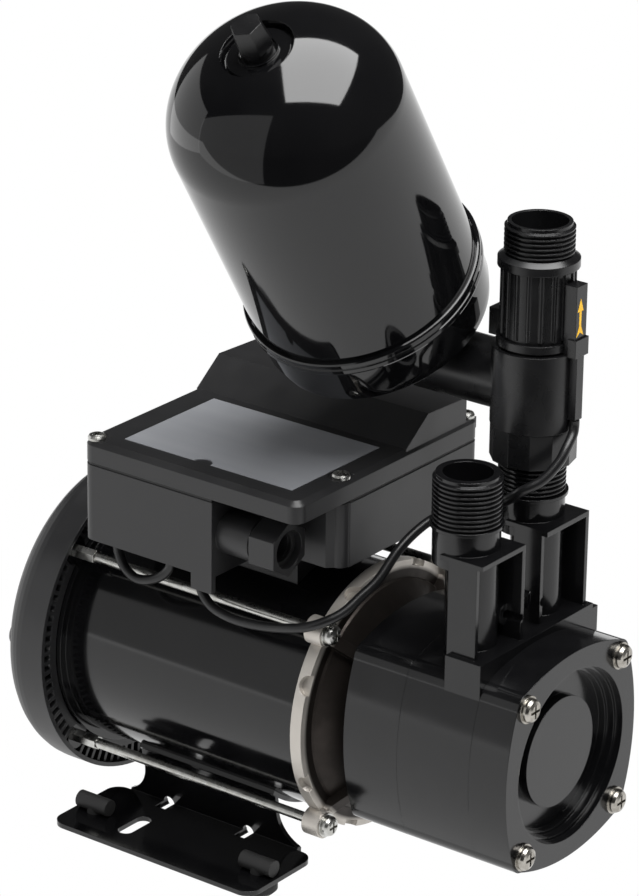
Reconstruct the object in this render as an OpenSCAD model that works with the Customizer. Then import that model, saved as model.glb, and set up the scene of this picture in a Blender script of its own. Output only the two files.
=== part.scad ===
// Shower pump with motor, pressure vessel, flow switch and terminal box, in millimetres.
// +X runs along the motor axis to the pump's front cover, +Z is up and -Y is the inlet's side.
// The origin is midway between the two slots of the foot, on the foot plate's underside.

/* [Motor] */
// Height of the motor axis above the underside of the foot plate
axis_h = 64; // [62:0.5:72]
// Outer radius of the motor shell
shell_r = 50; // [48:0.5:51]
// Wall of the motor shell
shell_wall = 1.5; // [1:0.1:2]
// Length of the motor shell
shell_len = 109; // [105:1:120]
// Front edge of the motor shell, measured forward from the foot's slots
motor_x = 76.5; // [74:0.5:80]
// Radius of the motor shaft
shaft_r = 4; // [3.5:0.1:4.5]
// Half spacing of the four tie screws, across and up
rod_half = 40.15; // [39.5:0.05:42]
// Radius of a tie screw's shank
rod_r = 2; // [1.5:0.1:2.4]
// Radius of a tie screw's head
rod_head_r = 4; // [3.6:0.1:4.5]
// Radius of the ears that the tie screws pass through
ear_r = 5.5; // [5:0.1:6]
// Length of the laminated stator core
stator_len = 46; // [40:1:50]
// Radius of the rotor
rotor_r = 30; // [26:0.5:31]
// Number of slots in the stator core
stator_slots = 24; // [12:2:30]

/* [Fan and cowl] */
// Outer radius of the fan cowl
cowl_r = 64.1; // [62:0.1:68]
// Length of the fan cowl
cowl_len = 22.3; // [20:0.1:30]
// Radius of the curve between the cowl's side and back
cowl_round = 11.3; // [8:0.1:13]
// Wall of the fan cowl
cowl_wall = 1.8; // [1.2:0.1:2.2]
// Number of spokes in the cowl's front ring
cowl_spokes = 88; // [60:4:96]
// Radius over the fan blades
fan_r = 44; // [38:0.5:46]
// Number of fan blades
fan_blades = 9; // [5:1:13]

/* [Brackets] */
// Radius of the cast front bracket's rim
rim_r = 53.4; // [53:0.1:54]
// Thickness of the bracket's rim
rim_t = 5; // [4:0.5:7]
// Length of the front bracket, from the motor shell to the pump
bracket_len = 17; // [15:0.5:20]
// Radius of the rear bracket's rim
rear_rim_r = 52.8; // [52:0.1:53.4]

/* [Pump head] */
// Length of the black plate between bracket and pump body
adapter_len = 25; // [22:0.5:30]
// Length of the pump body
body_len = 33; // [32:0.5:38]
// Length of the front cover
cover_len = 17; // [15:0.5:20]
// Half spacing of the cover screws, across and up
screw_half = 30.4; // [30:0.1:32]
// Radius of the corners round the cover screws
corner_r = 6.4; // [6:0.1:7]
// Half width of the pump head at the middle of its bulging sides
side_bulge = 42.5; // [40:0.5:44]
// Radius of a cover screw's shank
cover_screw_r = 2.5; // [2:0.1:2.8]
// Radius of the pump chamber
chamber_r = 31; // [29:0.5:33]
// Radius of the impeller
impeller_r = 29; // [26:0.5:30]
// Number of impeller vanes
impeller_vanes = 24; // [12:2:30]

/* [Ports] */
// Distance between the two port axes
port_gap = 41.6; // [40:0.2:46]
// Major radius of the G3/4 port threads
thread_r = 13.22; // [12.5:0.01:13.4]
// Pitch of the port threads
thread_pitch = 1.814; // [1.5:0.001:2]
// Number of thread turns on each pump port
thread_turns = 10; // [8:1:10]
// Bore radius of the pump ports
port_bore_r = 9.5; // [7:0.1:10]
// Height of the port's top above the motor axis
port_h = 112.5; // [110:0.5:118]
// Height of the port's clip plate above the motor axis
plate_h = 83.4; // [80:0.2:86]

/* [Outlet fittings] */
// Radius over the corners of the outlet's coupling nut
nut_corner_r = 16.4; // [15.8:0.1:17.5]
// Radius of the tee body
tee_r = 16.6; // [15.5:0.1:18]
// Radius of the tee's branch to the vessel
branch_r = 13; // [12:0.1:13.5]
// Bore radius of the outlet fittings
flow_bore_r = 8; // [7:0.1:8.4]
// Radius of the ribbed valve body
valve_r = 13.5; // [13:0.1:14.6]
// Number of ribs round the valve body
valve_ribs = 18; // [10:2:24]
// Travel of the flow switch's float
float_travel = 6; // [4:0.5:7]
// Travel of the non-return valve
valve_travel = 4; // [3:0.5:5]

/* [Pressure vessel] */
// Lean of the vessel towards the inlet side, in degrees
vessel_tilt = 32.2; // [25:0.2:40]
// Radius of the vessel's shell
vessel_r = 44.7; // [40:0.1:45.2]
// Length of the vessel from branch axis to the start of its dome
vessel_straight = 127.7; // [115:0.1:130]
// Height of the vessel's dome
dome_h = 36; // [30:0.5:42]
// Wall of the vessel's steel shells
vessel_wall = 1.2; // [0.8:0.1:1.6]
// Radius of the crimped band over the joint of the shells
band_r = 46.5; // [46:0.1:49]

/* [Terminal box] */
// Length of the terminal box along the motor
box_len = 104; // [100:1:110]
// Half width of the terminal box
box_half_w = 58; // [56:0.5:60]
// Height of the box's underside above the motor axis
box_floor_h = 57; // [56.5:0.5:60]
// Height of the seam between box and lid above the motor axis
box_seam_h = 88; // [87:0.5:92]
// Height of the lid's flat part
lid_h = 10; // [9:0.5:12]
// Height of the raised rear part over the lid's flat part
hump_h = 10.5; // [8:0.5:13]
// Wall of the box and its lid
box_wall = 2.2; // [1.8:0.1:2.6]
// Corner radius of the box seen from above
box_corner_r = 5; // [4:0.5:6]
// Length of the silver label
label_len = 80.5; // [60:0.5:84]
// Width of the silver label
label_w = 54.3; // [40:0.5:56]

/* [Foot] */
// Length of the foot's two flanges
foot_len = 100; // [94:1:110]
// Half width over the foot's flanges
foot_half_w = 70.4; // [68:0.2:74]
// Thickness of the foot's steel sheet
foot_t = 2; // [1.5:0.1:2.2]
// Half distance between the two fixing slots
slot_half = 53.2; // [52:0.1:54]
// Length of a fixing slot
slot_len = 17; // [15:0.5:18]
// Width of a fixing slot
slot_w = 6.5; // [5.5:0.1:7.5]
// Depth of the rubber feet under the foot plate
foot_drop = 6; // [4:0.5:8]

/* [Hidden] */

$fn = 64;
over = 1;          // overrun of every cut
slip = 0.05;       // radial clearance of parts that are pressed or slid together
running = 0.05;    // radial clearance of parts that turn on each other
soft_gap = 0.3;    // clearance of soft and loosely fitted parts

// Rear end of the motor
shell_x0 = motor_x - shell_len;
shell_in_r = shell_r - shell_wall;
stator_x0 = shell_x0 + (shell_len - stator_len) / 2;
rear_neck = 5.5;
rear_rim_w = 8;
rear_rim_x1 = shell_x0 - rear_neck;
rear_rim_x0 = rear_rim_x1 - rear_rim_w;
rear_web_t = 4;
spigot_len = 5;
spigot_wall = 3.5;
neck_step = 0.5;
rear_neck_r = shell_r - neck_step;

// Bearings: 22 mm outside, 7 mm wide
bearing_r = 11;
bearing_w = 7;
hub_wall = 4;
shield_depth = 0.8;
shield_rim = 2;
shield_in_r = shaft_r + shield_rim;
shield_out_r = bearing_r - shield_rim;
rear_bearing_x = rear_rim_x0 + rear_web_t + 2 * running;
shaft_room = 2;
web_hole_r = shaft_r + shaft_room;

// Front bracket
rim_x1 = motor_x + rim_t;
bracket_x1 = motor_x + bracket_len;
bracket_disc_t = 6;
bracket_disc_r = 31;
bracket_wall = 3;
front_bearing_x = bracket_x1 - bracket_disc_t - bearing_w;
ear_len = 7.5;
ear_x1 = motor_x + ear_len;
rod_radius = rod_half * sqrt(2);
rib_t = 5;
pocket_r = 6;
pocket_depth = 2.5;
pocket_turn = 22;

// Tie screws
washer_r = 4.8;
washer_t = 0.8;
rod_head_h = 3.2;
recess_w = 1;
recess_depth = 1.6;
rod_nut_r = 2.9;
rod_nut_len = 11;
rod_tail = 4;

// Fan and cowl
cowl_x1 = rear_rim_x1 + 0.5 * slip;
cowl_x0 = cowl_x1 - cowl_len;
ring_in_r = rear_rim_r + soft_gap;
ring_w = 3.6;
ring_x1 = rear_rim_x1 - foot_t;
ring_len = 4;
spoke_w = 1.6;
back_slots = 30;
back_slot_in_r = 22;
back_slot_out_r = cowl_r - cowl_round - 1.5 * cowl_wall;
back_slot_w = 3;
knob_r = 6.5;
knob_len = 7.9;
knob_round = 2;
knob_y = -44;
knob_z = -1.3;
fan_hub_r = 10;
fan_room = 1.5;
fan_x0 = cowl_x0 + cowl_wall + fan_room;
fan_hub_len = rear_rim_x0 - fan_room - fan_x0;
blade_t = 1.6;
fan_disc_t = 2;
fan_step = 1;
fan_disc_share = 0.7;

// Rotor and shaft
shaft_step = 1.5;
rotor_bore_r = shaft_r + shaft_step;
air_gap = 0.4;
end_ring_len = 8;
end_ring_step = 2;
end_ring_r = rotor_r - end_ring_step;
slot_depth = 9;
slot_mouth_w = 4;
winding_len = 12;
winding_room = 4;
winding_gap = 3;
winding_in_r = rotor_r + winding_room;
winding_out_r = shell_in_r - winding_gap;
winding_round = 4;
shaft_back = 1;
shaft_x0 = fan_x0 + shaft_back;

// Pump head, from the motor side to the front
adapter_x0 = bracket_x1;
body_x0 = adapter_x0 + adapter_len;
cover_x0 = body_x0 + body_len;
cover_x1 = cover_x0 + cover_len;
head_half = screw_half + corner_r;
// Radius at which a bulging side dips just under the round corners and crosses them
corner_dip = 0.25;
dip_r = corner_r - corner_dip;
bulge_to_screw = side_bulge - screw_half;
bulge_r = (bulge_to_screw * bulge_to_screw + screw_half * screw_half - dip_r * dip_r)
          / (2 * (bulge_to_screw - dip_r));
seal_bore_r = 14;
seal_bore_back = 7;
seal_bore_x0 = adapter_x0 + seal_bore_back;
seat_len = 5;
seat_room = 1;
seat_in_r = shaft_r + seat_room;
head_len = 11;
head_r = 10;
fix_radius = 21;
fix_screw_r = 2.5;
fix_head_r = 4.2;
fix_head_h = 3.4;
fix_depth = 13;
body_wall = 4;
chamber_x0 = body_x0 + body_wall;
cover_plug_len = 10;
impeller_gap = 2;
impeller_x0 = chamber_x0 + impeller_gap;
impeller_len = cover_x0 - cover_plug_len - impeller_x0 - impeller_gap;
impeller_hub_r = 9;
impeller_disc_t = 4;
vane_t = 1.8;
vane_len = 8;
shaft_x1 = impeller_x0 + impeller_len;
groove_w = 2.6;
groove_out = 3.4;
groove_in_r = chamber_r + groove_out;
body_groove_out = 2;
body_groove_r = seal_bore_r + body_groove_out;
groove_depth = 2;
recess_r = 34.6;
recess_steps = 3;
recess_step_r = 1.5;
recess_floor = 9;
boss_r = 21.9;
boss_back = 5.1;
boss_wall = 2;
cover_head_r = 4.7;
cover_head_h = 3;
cover_washer_r = 5.4;
cover_washer_t = 0.9;

// Port towers
port_in = 14;
port_x = body_x0 + port_in;
port_top = axis_h + port_h;
thread_h = thread_turns * thread_pitch;
thread_lead = 1.4;
thread_depth = 1.1;
joint_thread_step = 0.32;
joint_thread_r = thread_r - joint_thread_step;
crest_share = 0.3;
root_share = 0.2;
collar_step = 0.4;
collar_r = thread_r - collar_step;
lip_out = 0.7;
lip_r = thread_r + lip_out;
lip_t = 1.3;
collar_in = 4;
collar_z0 = axis_h + plate_h - collar_in;
plate_t = 2;
plate_half = 13.75;
plate_front = 17.2;
plate_back = 2;
duct_r = 10;
duct_shift = 3;
duct_bore_r = 6;
tower_rib_t = 1.9;
near_rib_end = 14.7;
shoulder_h = 45;
shoulder_start = 3;
boss_pair_y = 9;
boss_pair_h = 54;
boss_pair_r = 4.2;
boss_pair_bore_r = 1.7;
boss_pair_len = 7.5;
lug_len = 6;
lug_out = 3.4;
lug_h0 = 32;
lug_h1 = 43;

// Outlet fittings, upwards from the port's top
outlet_y = port_gap / 2;
gasket_t = 2;
gasket_room = 0.5;
gasket_in_r = port_bore_r + gasket_room;
gasket_out_r = thread_r - thread_depth - slip;
tee_z0 = port_top + gasket_t;
tee_flange_t = 2;
tee_flange_r = gasket_out_r;
tee_flange_step = 1.5;
tee_neck_r = tee_flange_r - tee_flange_step;
nut_down = 6.7;
nut_up = 3;
nut_z0 = port_top - nut_down;
nut_z1 = tee_z0 + tee_flange_t + nut_up;
nut_sides = 12;
nut_band_h = 2.4;
tee_body_z0 = nut_z1 + soft_gap;
tee_body_h = 30.6;
tee_z1 = tee_body_z0 + tee_body_h;
branch_up = 14.7;
branch_z = tee_body_z0 + branch_up;
branch_len = 50;
branch_x0 = port_x - branch_len;
float_seat_t = 2;
float_seat_z = tee_body_z0 + float_seat_t;
float_r = flow_bore_r - soft_gap;
float_h = 9;
float_bore_r = 3;
seat_bore_r = 5.5;
socket_r = 11.5;
socket_depth = 8;
seal_t = 2;
valve_z0 = tee_z1;
valve_h = 31.3;
valve_ring_h = 4.8;
valve_ring_out = 1.9;
valve_ring_r = valve_r + valve_ring_out;
top_thread_h = 12.3;
valve_ring_z = valve_z0 + valve_h;
top_z0 = valve_ring_z + valve_ring_h;
top_z1 = top_z0 + top_thread_h;
top_bore_r = 10.6;
rib_r = 1;
rib_gap = 1.2;
check_seat_up = 6;
check_seat_z = valve_z0 + check_seat_up;
check_seat_t = 2;
check_seat_r = 6;
check_r = 8.6;
check_t = 2.5;
check_stem_r = 1.8;
check_stem_len = 16;
spider_up = 15;
spider_z = check_seat_z + spider_up;
spider_t = 2.5;
spider_hub_r = 4;
spider_arm_w = 2.4;
spring_wire_r = 0.5;
spring_r = 4.2;
spring_turns = 5;
spring_sides = 6;
spring_steps = 8;
clip_up = 1;
clip_z0 = valve_z0 + clip_up;
clip_h = 3;
clip_t = 1.6;
clip_block_h = 10.5;
clip_block_w = 9;
clip_block_out = 5;
reed_w = 6.8;
reed_out = 6;
reed_low_w = 4.5;
reed_low_out = 3.2;
reed_x0 = port_x + valve_r + rib_r;
reed_low_x0 = port_x + tee_r;
reed_up = 5.1;
reed_z0 = tee_body_z0 + reed_up;
reed_top_up = 27.3;
reed_z1 = valve_z0 + reed_top_up;
reed_step_down = 0.3;
reed_step_z = valve_z0 - reed_step_down;
reed_badge_up = 6.7;
reed_badge_z = valve_z0 + reed_badge_up;
reed_badge_out = 0.8;
reed_wall = 0.8;
glass_r = 1.2;
glass_len = 14;

// Vessel, along its own leaning axis from the branch's axis
elbow_out = 14.9;
vessel_x = branch_x0 - elbow_out;
elbow_len = 17;
elbow_r = 11;
base_s0 = 17.4;
base_flat_in = 6.7;
base_flat_r = vessel_r - base_flat_in;
base_mid_in = 2.9;
base_mid_r = vessel_r - base_mid_in;
base_mid_s = 18.2;
base_side_in = 1.1;
base_side_r = vessel_r - base_side_in;
base_side_s = 20.1;
seam_s = 39.9;
band_half = 3.1;
band_bead = 0.5;
band_lip = 0.9;
dome_steps = 20;
dome_cut_share = 0.95;
dome_in_share = 0.93;
dome_recess = 3.4;
dome_recess_r = 13.2;
dome_top = vessel_straight + dome_h * dome_cut_share - dome_recess;
stem_r = 4;
stem_bore_r = 2.2;
stem_up = 12;
stem_down = 9;
stem_foot = 2;
pin_r = 0.9;
pin_head_r = 1.8;
pin_head_t = 1.2;
neck_in = 3;
neck_len = 4;
pin_in = 0.5;
washer_top_r = 12.4;
washer_top_t = 1.4;
washer_ridge_r = 7.8;
washer_ridge = 0.8;
cap_r = 5.9;
cap_len = 14.2;
cap_wall = 1.2;
cap_grip_len = 10.5;
cap_grip_r = 7.1;
cap_grip_turn = 20;
membrane_t = 1.4;
membrane_rise = 34;

// Terminal box
box_front = 6;
box_x0 = motor_x + box_front - box_len;
box_x1 = box_x0 + box_len;
box_z0 = axis_h + box_floor_h;
seam_z = axis_h + box_seam_h;
lid_z1 = seam_z + lid_h;
hump_z1 = lid_z1 + hump_h;
hump_y0 = 10.6;
hump_y1 = 24.5;
hump_side = 8;
hump_y2 = box_half_w - hump_side;
hump_in = 1.5;
hump_y3 = box_half_w - hump_in;
hump_back_drop = 2;
lid_bevel = 2;
gasket_w = 1.2;
notch_len = 63.5;
notch_x = box_x0 + notch_len;
notch_w = 26;
notch_y = notch_w - box_half_w;
notch_chamfer = 6.5;
shelf_h = 5;
shelf_back = 22;
shelf_x = motor_x - shelf_back;
saddle_half = 21;
saddle_in = 6.5;
saddle_x0 = box_x0 + saddle_in;
tab_len = 10;
tab_x0 = notch_x - tab_len;
tab_h = 6.5;
tab_t = 2.5;
lid_screw_in = 4.2;
side_screw_in = 32;
side_screw_y = side_screw_in - box_half_w;
lid_screw_r = 1.7;
lid_head_r = 3.6;
lid_head_h = 2.2;
screw_pit_r = 5.2;
post_r = 3.6;
post_bore = 10;
label_in = 13.5;
label_x0 = box_x0 + label_in;
label_side = 9.4;
label_y1 = label_side - box_half_w + label_w;
label_t = 0.5;
label_pocket = 0.3;
label_notch_r = 4;
label_notch_share = 0.47;
gland_side = 11;
gland_y = gland_side - box_half_w;
gland_h = 73;
gland_z = axis_h + gland_h;
gland_r = 8.6;
gland_len = 15;
gland_bore_r = 5.5;
gland_thread_r = 8.2;
gland_thread_len = 8.5;
gland_seal_t = 1.6;
gland_nut_r = 11;
gland_nut_gap = 1.5;
gland_nut_front = 3.2;
gland_mouth_r = 7.6;
cap_body_r = 14;
cap_body_in = 9;
cap_body_x0 = box_x0 + cap_body_in;
cap_room = 15;
cap_body_len = shelf_x - cap_body_x0 - cap_room;
cap_side = 26;
cap_body_y = box_half_w - cap_side;
board_in = 10;
board_x0 = box_x0 + board_in;
board_room = 18;
board_len = shelf_x - board_x0 - board_room;
board_w = 44;
board_side = 12;
board_y0 = board_side - box_half_w;
board_t = 1.6;
board_h = 4;
block_len = 30;
block_w = 12;
block_h = 10;
block_ways = 6;
lead_hole_r = 2.6;

// Foot
foot_mid_x = 21.3;
foot_x0 = foot_mid_x - foot_len / 2;
foot_in_y = 30;
foot_bend_y = 27;
foot_corner_r = 6;
web_x0 = -13;
web_x1 = 54;
web_flare_r = 14;
flare_share = 0.97;
web_flare = 0.6 * web_flare_r;
web_top_y = 33.4;
cradle_in_r = shell_r + slip;
web_hole_x = [-2, 38];
web_hole_r2 = 2.6;
pad_half = 41;
pad_y = 53.7;
pad_r = 7.5;
pad_waist_r = 3.3;
bar_r = 3.4;
bar_len = 15;
bar_gap = 0.2;
bar_z = foot_t + bar_gap + bar_r;

// Leads: their routes lie along the photographed ones
lead_r = 1.9;
lead_sides = 10;
lead_steps = 2;
switch_route = [[151.2, 20, 188.8], [151.2, 20, 186.5], [151.6, 18.5, 183.5], [152, 14, 179.5], [151.5, 10, 175], [148.5, 4, 169],
                [142.5, -0.5, 164.5], [135, 1, 158.5], [124, 1, 152], [112, 0.5, 147], [105, -2, 144.5],
                [101, -9, 140], [98.5, -17, 134], [96.5, -26, 125], [93.5, -33, 119.5], [90.5, -39.5, 114.5],
                [85.5, -45, 111], [77, -49, 107.5], [62.5, -49.5, 104], [48, -49.5, 102.5], [36.5, -48.5, 103.5],
                [30, -47.5, 107], [27, -47, 112.5], [26, -47, 117.5], [26, -47, 121]];
motor_route = [[-13.5, -47, 121], [-13.5, -47, 117.5], [-12.5, -47, 113], [-9, -48, 108.5], [-3, -49, 106],
               [3, -48.5, 106.5], [8.5, -47.5, 109], [12, -46.5, 113], [13, -46.5, 117.5], [13, -46.5, 121]];

black = [0.06, 0.06, 0.065];
matt_black = [0.16, 0.16, 0.165];
cast_grey = [0.55, 0.52, 0.48];
zinc = [0.78, 0.79, 0.8];
steel = [0.7, 0.7, 0.72];
silver = [0.72, 0.73, 0.75];
rubber_black = [0.1, 0.1, 0.1];
copper = [0.72, 0.42, 0.22];
board_green = [0.1, 0.35, 0.2];
white_part = [0.85, 0.85, 0.82];

// Shapes used by several pieces

// A profile of [x, radius] points turned about the motor axis
module turned(points) {
    translate([0, 0, axis_h]) rotate([0, 90, 0])
        rotate_extrude() polygon([for (p = points) [p[1], p[0]]]);
}

// A profile of [radius, height] points turned about an upright axis
module upright(x, y, points) {
    translate([x, y, 0]) rotate_extrude() polygon(points);
}

// A tube about the motor axis
module ring_x(x0, x1, r_in, r_out) {
    turned([[x0, r_in], [x1, r_in], [x1, r_out], [x0, r_out]]);
}

// A rod along X, at a place measured from the motor axis
module rod_x(x0, x1, r, y = 0, h = 0, sides = $fn) {
    translate([x0, y, axis_h + h]) rotate([0, 90, 0]) cylinder(r = r, h = x1 - x0, $fn = sides);
}

// The four corners of a square pattern about the motor axis
module four(half) {
    for (sy = [-1, 1], sz = [-1, 1]) translate([0, sy * half, sz * half]) children();
}

// Everything drawn along the vessel's leaning axis
module on_vessel() {
    translate([vessel_x, outlet_y, branch_z]) rotate([vessel_tilt, 0, 0]) children();
}

// A cross recess cut into a screw head whose top lies at height zero
module cross_cut(r) {
    for (turn = [0, 90]) rotate([0, 0, turn])
        translate([-r * 0.6, -recess_w / 2, -recess_depth]) cube([r * 1.2, recess_w, recess_depth + over]);
}

// A pan head screw pointing down from height zero, with its head above
module pan_screw(head_r, head_h, shank_r, len) {
    difference() {
        union() {
            translate([0, 0, -len]) cylinder(r = shank_r, h = len + slip);
            rotate_extrude() polygon([[0, 0], [head_r, 0], [head_r, head_h * 0.45],
                                      [head_r * 0.86, head_h * 0.8], [head_r * 0.55, head_h], [0, head_h]]);
        }
        translate([0, 0, head_h]) cross_cut(head_r);
    }
}

// Profile of a pipe thread from its foot to its top, with flat crests, as [radius, height] points
function thread_profile(z0, turns, r, top) = concat(
    [for (i = [0 : turns - 1]) each [
        [r - thread_depth, z0 + i * thread_pitch],
        [r - thread_depth, z0 + (i + root_share) * thread_pitch],
        [r, z0 + (i + (1 - crest_share) / 2 + root_share / 2) * thread_pitch],
        [r, z0 + (i + (1 + crest_share) / 2 + root_share / 2) * thread_pitch]]],
    [[r - thread_depth, z0 + turns * thread_pitch], [r - thread_depth, top]]);

// Points on a smooth curve through a route, by Catmull and Rom's rule
function smooth_point(a, b, c, d, t) = 0.5 * (2 * b + (c - a) * t + (2 * a - 5 * b + 4 * c - d) * t * t
                                              + (3 * b - a - 3 * c + d) * t * t * t);
function smooth_route(p, steps) = let (n = len(p)) concat(
    [for (i = [0 : n - 2], k = [0 : steps - 1])
        smooth_point(p[max(i - 1, 0)], p[i], p[i + 1], p[min(i + 2, n - 1)], k / steps)], [p[n - 1]]);
function unit(v) = v / norm(v);
function tangent(p, i) = unit(p[min(i + 1, len(p) - 1)] - p[max(i - 1, 0)]);

// A side vector carried along the route without twist
function carried(p, i, side) = i == 0 ? [side] : let (before = carried(p, i - 1, side),
    last = before[i - 1], t = tangent(p, i)) concat(before, [unit(last - (last * t) * t)]);

// A closed tube of flat sides along a list of points
module tube_along(p, r, sides, side) {
    n = len(p);
    vectors = carried(p, n - 1, side);
    points = [for (i = [0 : n - 1]) let (u = unit(vectors[i] - (vectors[i] * tangent(p, i)) * tangent(p, i)),
                                         w = cross(tangent(p, i), u))
              for (k = [0 : sides - 1]) p[i] + r * (cos(360 * k / sides) * u + sin(360 * k / sides) * w)];
    walls = [for (i = [0 : n - 2], k = [0 : sides - 1]) let (j = (k + 1) % sides) each [
        [i * sides + k, (i + 1) * sides + j, i * sides + j],
        [i * sides + k, (i + 1) * sides + k, (i + 1) * sides + j]]];
    ends = [[for (k = [0 : sides - 1]) k], [for (k = [sides - 1 : -1 : 0]) (n - 1) * sides + k]];
    polyhedron(points, concat(walls, ends));
}

// Outline of the pump head across the motor axis: corners round the screws and bulging sides
module head_outline() {
    square(2 * screw_half + corner_r, center = true);
    for (sy = [-1, 1], sz = [-1, 1]) translate([sy * screw_half, sz * screw_half]) circle(r = corner_r);
    slope = screw_half / (screw_half - side_bulge + bulge_r);
    for (turn = [0 : 90 : 270]) rotate(turn) intersection() {
        translate([side_bulge - bulge_r, 0]) circle(r = bulge_r, $fn = 4 * $fn);
        polygon([for (x = [0, 2 * side_bulge], s = x == 0 ? [1, -1] : [-1, 1]) [x, s * slope * (x - side_bulge + bulge_r)]]);
    }
}

// The pump head's outline as a block along X
module head_block(x0, len) {
    translate([x0, 0, axis_h]) rotate([90, 0, 90]) linear_extrude(len) head_outline();
}

// A rectangle with rounded corners, seen from above
module rounded(x0, x1, y0, y1, r) {
    translate([x0 + r, y0]) square([x1 - x0 - 2 * r, y1 - y0]);
    translate([x0, y0 + r]) square([x1 - x0, y1 - y0 - 2 * r]);
    for (x = [x0 + r, x1 - r], y = [y0 + r, y1 - r]) translate([x, y]) circle(r = r);
}

// Motor

module motor_shell() color(black) difference() {
    ring_x(shell_x0, motor_x, shell_in_r, shell_r);
    translate([foot_mid_x, 0, axis_h]) cylinder(r = lead_hole_r, h = 2 * shell_r);
}

module stator_core() color(steel) difference() {
    ring_x(stator_x0, stator_x0 + stator_len, rotor_r + air_gap, shell_in_r - slip);
    for (i = [0 : stator_slots - 1]) translate([stator_x0 - over, 0, axis_h]) rotate([i * 360 / stator_slots, 0, 0])
        translate([0, -slot_mouth_w / 2, rotor_r]) cube([stator_len + 2 * over, slot_mouth_w, slot_depth]);
}

// One bundle of end turns, as a rounded ring against the core
module end_turns(x0) {
    translate([x0, 0, axis_h]) rotate([0, 90, 0]) rotate_extrude()
        translate([0, 0]) rounded(winding_in_r, winding_out_r, 0, winding_len, winding_round);
}

module windings() color(copper) {
    end_turns(stator_x0 - winding_len);
    end_turns(stator_x0 + stator_len);
}

module rotor_core() color(steel) turned([
    [stator_x0 - end_ring_len, rotor_bore_r], [stator_x0 + stator_len + end_ring_len, rotor_bore_r],
    [stator_x0 + stator_len + end_ring_len, end_ring_r], [stator_x0 + stator_len, end_ring_r],
    [stator_x0 + stator_len, rotor_r], [stator_x0, rotor_r], [stator_x0, end_ring_r],
    [stator_x0 - end_ring_len, end_ring_r]]);

module shaft() color(steel) turned([
    [shaft_x0, 0], [shaft_x0, shaft_r], [rear_bearing_x + bearing_w + running, shaft_r],
    [rear_bearing_x + bearing_w + running, rotor_bore_r], [front_bearing_x - running, rotor_bore_r],
    [front_bearing_x - running, shaft_r], [shaft_x1, shaft_r], [shaft_x1, 0]]);

// A shielded ball bearing, drawn as one ring
module bearing(x0) turned([
    [x0, shaft_r + running], [x0, shield_in_r], [x0 + shield_depth, shield_in_r],
    [x0 + shield_depth, shield_out_r], [x0, shield_out_r], [x0, bearing_r - slip],
    [x0 + bearing_w, bearing_r - slip], [x0 + bearing_w, shield_out_r],
    [x0 + bearing_w - shield_depth, shield_out_r], [x0 + bearing_w - shield_depth, shield_in_r],
    [x0 + bearing_w, shield_in_r], [x0 + bearing_w, shaft_r + running]]);

module rear_bearing() color(steel) bearing(rear_bearing_x);

module front_bearing() color(steel) bearing(front_bearing_x);

module rear_bracket() color(black) difference() {
    union() {
        ring_x(rear_rim_x0, rear_rim_x0 + rear_web_t, web_hole_r, rear_rim_r);
        ring_x(rear_rim_x0, rear_rim_x1, shell_in_r - spigot_wall, rear_rim_r);
        ring_x(rear_rim_x1 - over, shell_x0, shell_in_r - spigot_wall, rear_neck_r);
        ring_x(shell_x0 - over, shell_x0 + spigot_len, shell_in_r - spigot_wall, shell_in_r - slip);
        ring_x(rear_rim_x0 + rear_web_t - over, rear_bearing_x + bearing_w, bearing_r, bearing_r + hub_wall);
        four(rod_half) rod_x(rear_rim_x0, rear_rim_x1 - 0.3 * rear_rim_w, ear_r);
    }
    four(rod_half) rod_x(rear_rim_x0 - over, rear_rim_x1 + over, rod_r + slip);
}

module front_bracket() color(cast_grey) difference() {
    union() {
        ring_x(motor_x, rim_x1, shell_in_r - 2 * spigot_wall, rim_r);
        ring_x(motor_x - spigot_len, motor_x + over, shell_in_r - spigot_wall, shell_in_r - slip);
        turned([[rim_x1 - over, shell_in_r - 2 * spigot_wall], [rim_x1 - over, shell_r - bracket_wall],
                [rim_x1 + over, shell_r - bracket_wall - over], [bracket_x1, bracket_disc_r],
                [bracket_x1, bracket_disc_r - 2 * bracket_wall], [bracket_x1 - bracket_disc_t, bracket_disc_r - 2 * bracket_wall],
                [bracket_x1 - bracket_disc_t, bracket_disc_r - bracket_wall]]);
        ring_x(bracket_x1 - bracket_disc_t, bracket_x1, web_hole_r, bracket_disc_r - bracket_wall);
        ring_x(front_bearing_x, bracket_x1 - bracket_disc_t + over, bearing_r, bearing_r + hub_wall);
        four(rod_half) rod_x(motor_x, ear_x1, ear_r);
        for (turn = [45 : 90 : 315]) translate([0, 0, axis_h]) rotate([turn, 0, 0]) rotate([90, 0, 0])
            translate([0, 0, -rib_t / 2]) linear_extrude(rib_t)
                polygon([[rim_x1 - over, shell_r - 2 * bracket_wall], [rim_x1 - over, rod_radius - washer_r - soft_gap],
                         [ear_x1 - over, rod_radius - washer_r - soft_gap], [bracket_x1, bracket_disc_r + 2 * bracket_wall],
                         [bracket_x1, bracket_disc_r - bracket_wall]]);
    }
    four(rod_half) rod_x(motor_x - over, bracket_x1, rod_r + slip);
    for (k = [0 : 3]) rotate_about_axis(k * 90) rod_x(motor_x, bracket_x1 + over, fix_screw_r + slip, fix_radius);
    for (k = [0 : 3], s = [-1, 1]) rotate_about_axis(45 + 90 * k + s * pocket_turn)
        translate([motor_x + rim_t, rim_r - pocket_depth, axis_h]) rotate([-90, 0, 0])
            cylinder(r = min(pocket_r, 0.8 * rim_t), h = 2 * pocket_depth);
}

// Turns what follows about the motor axis
module rotate_about_axis(turn) {
    translate([0, 0, axis_h]) rotate([turn, 0, 0]) translate([0, 0, -axis_h]) children();
}

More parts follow.
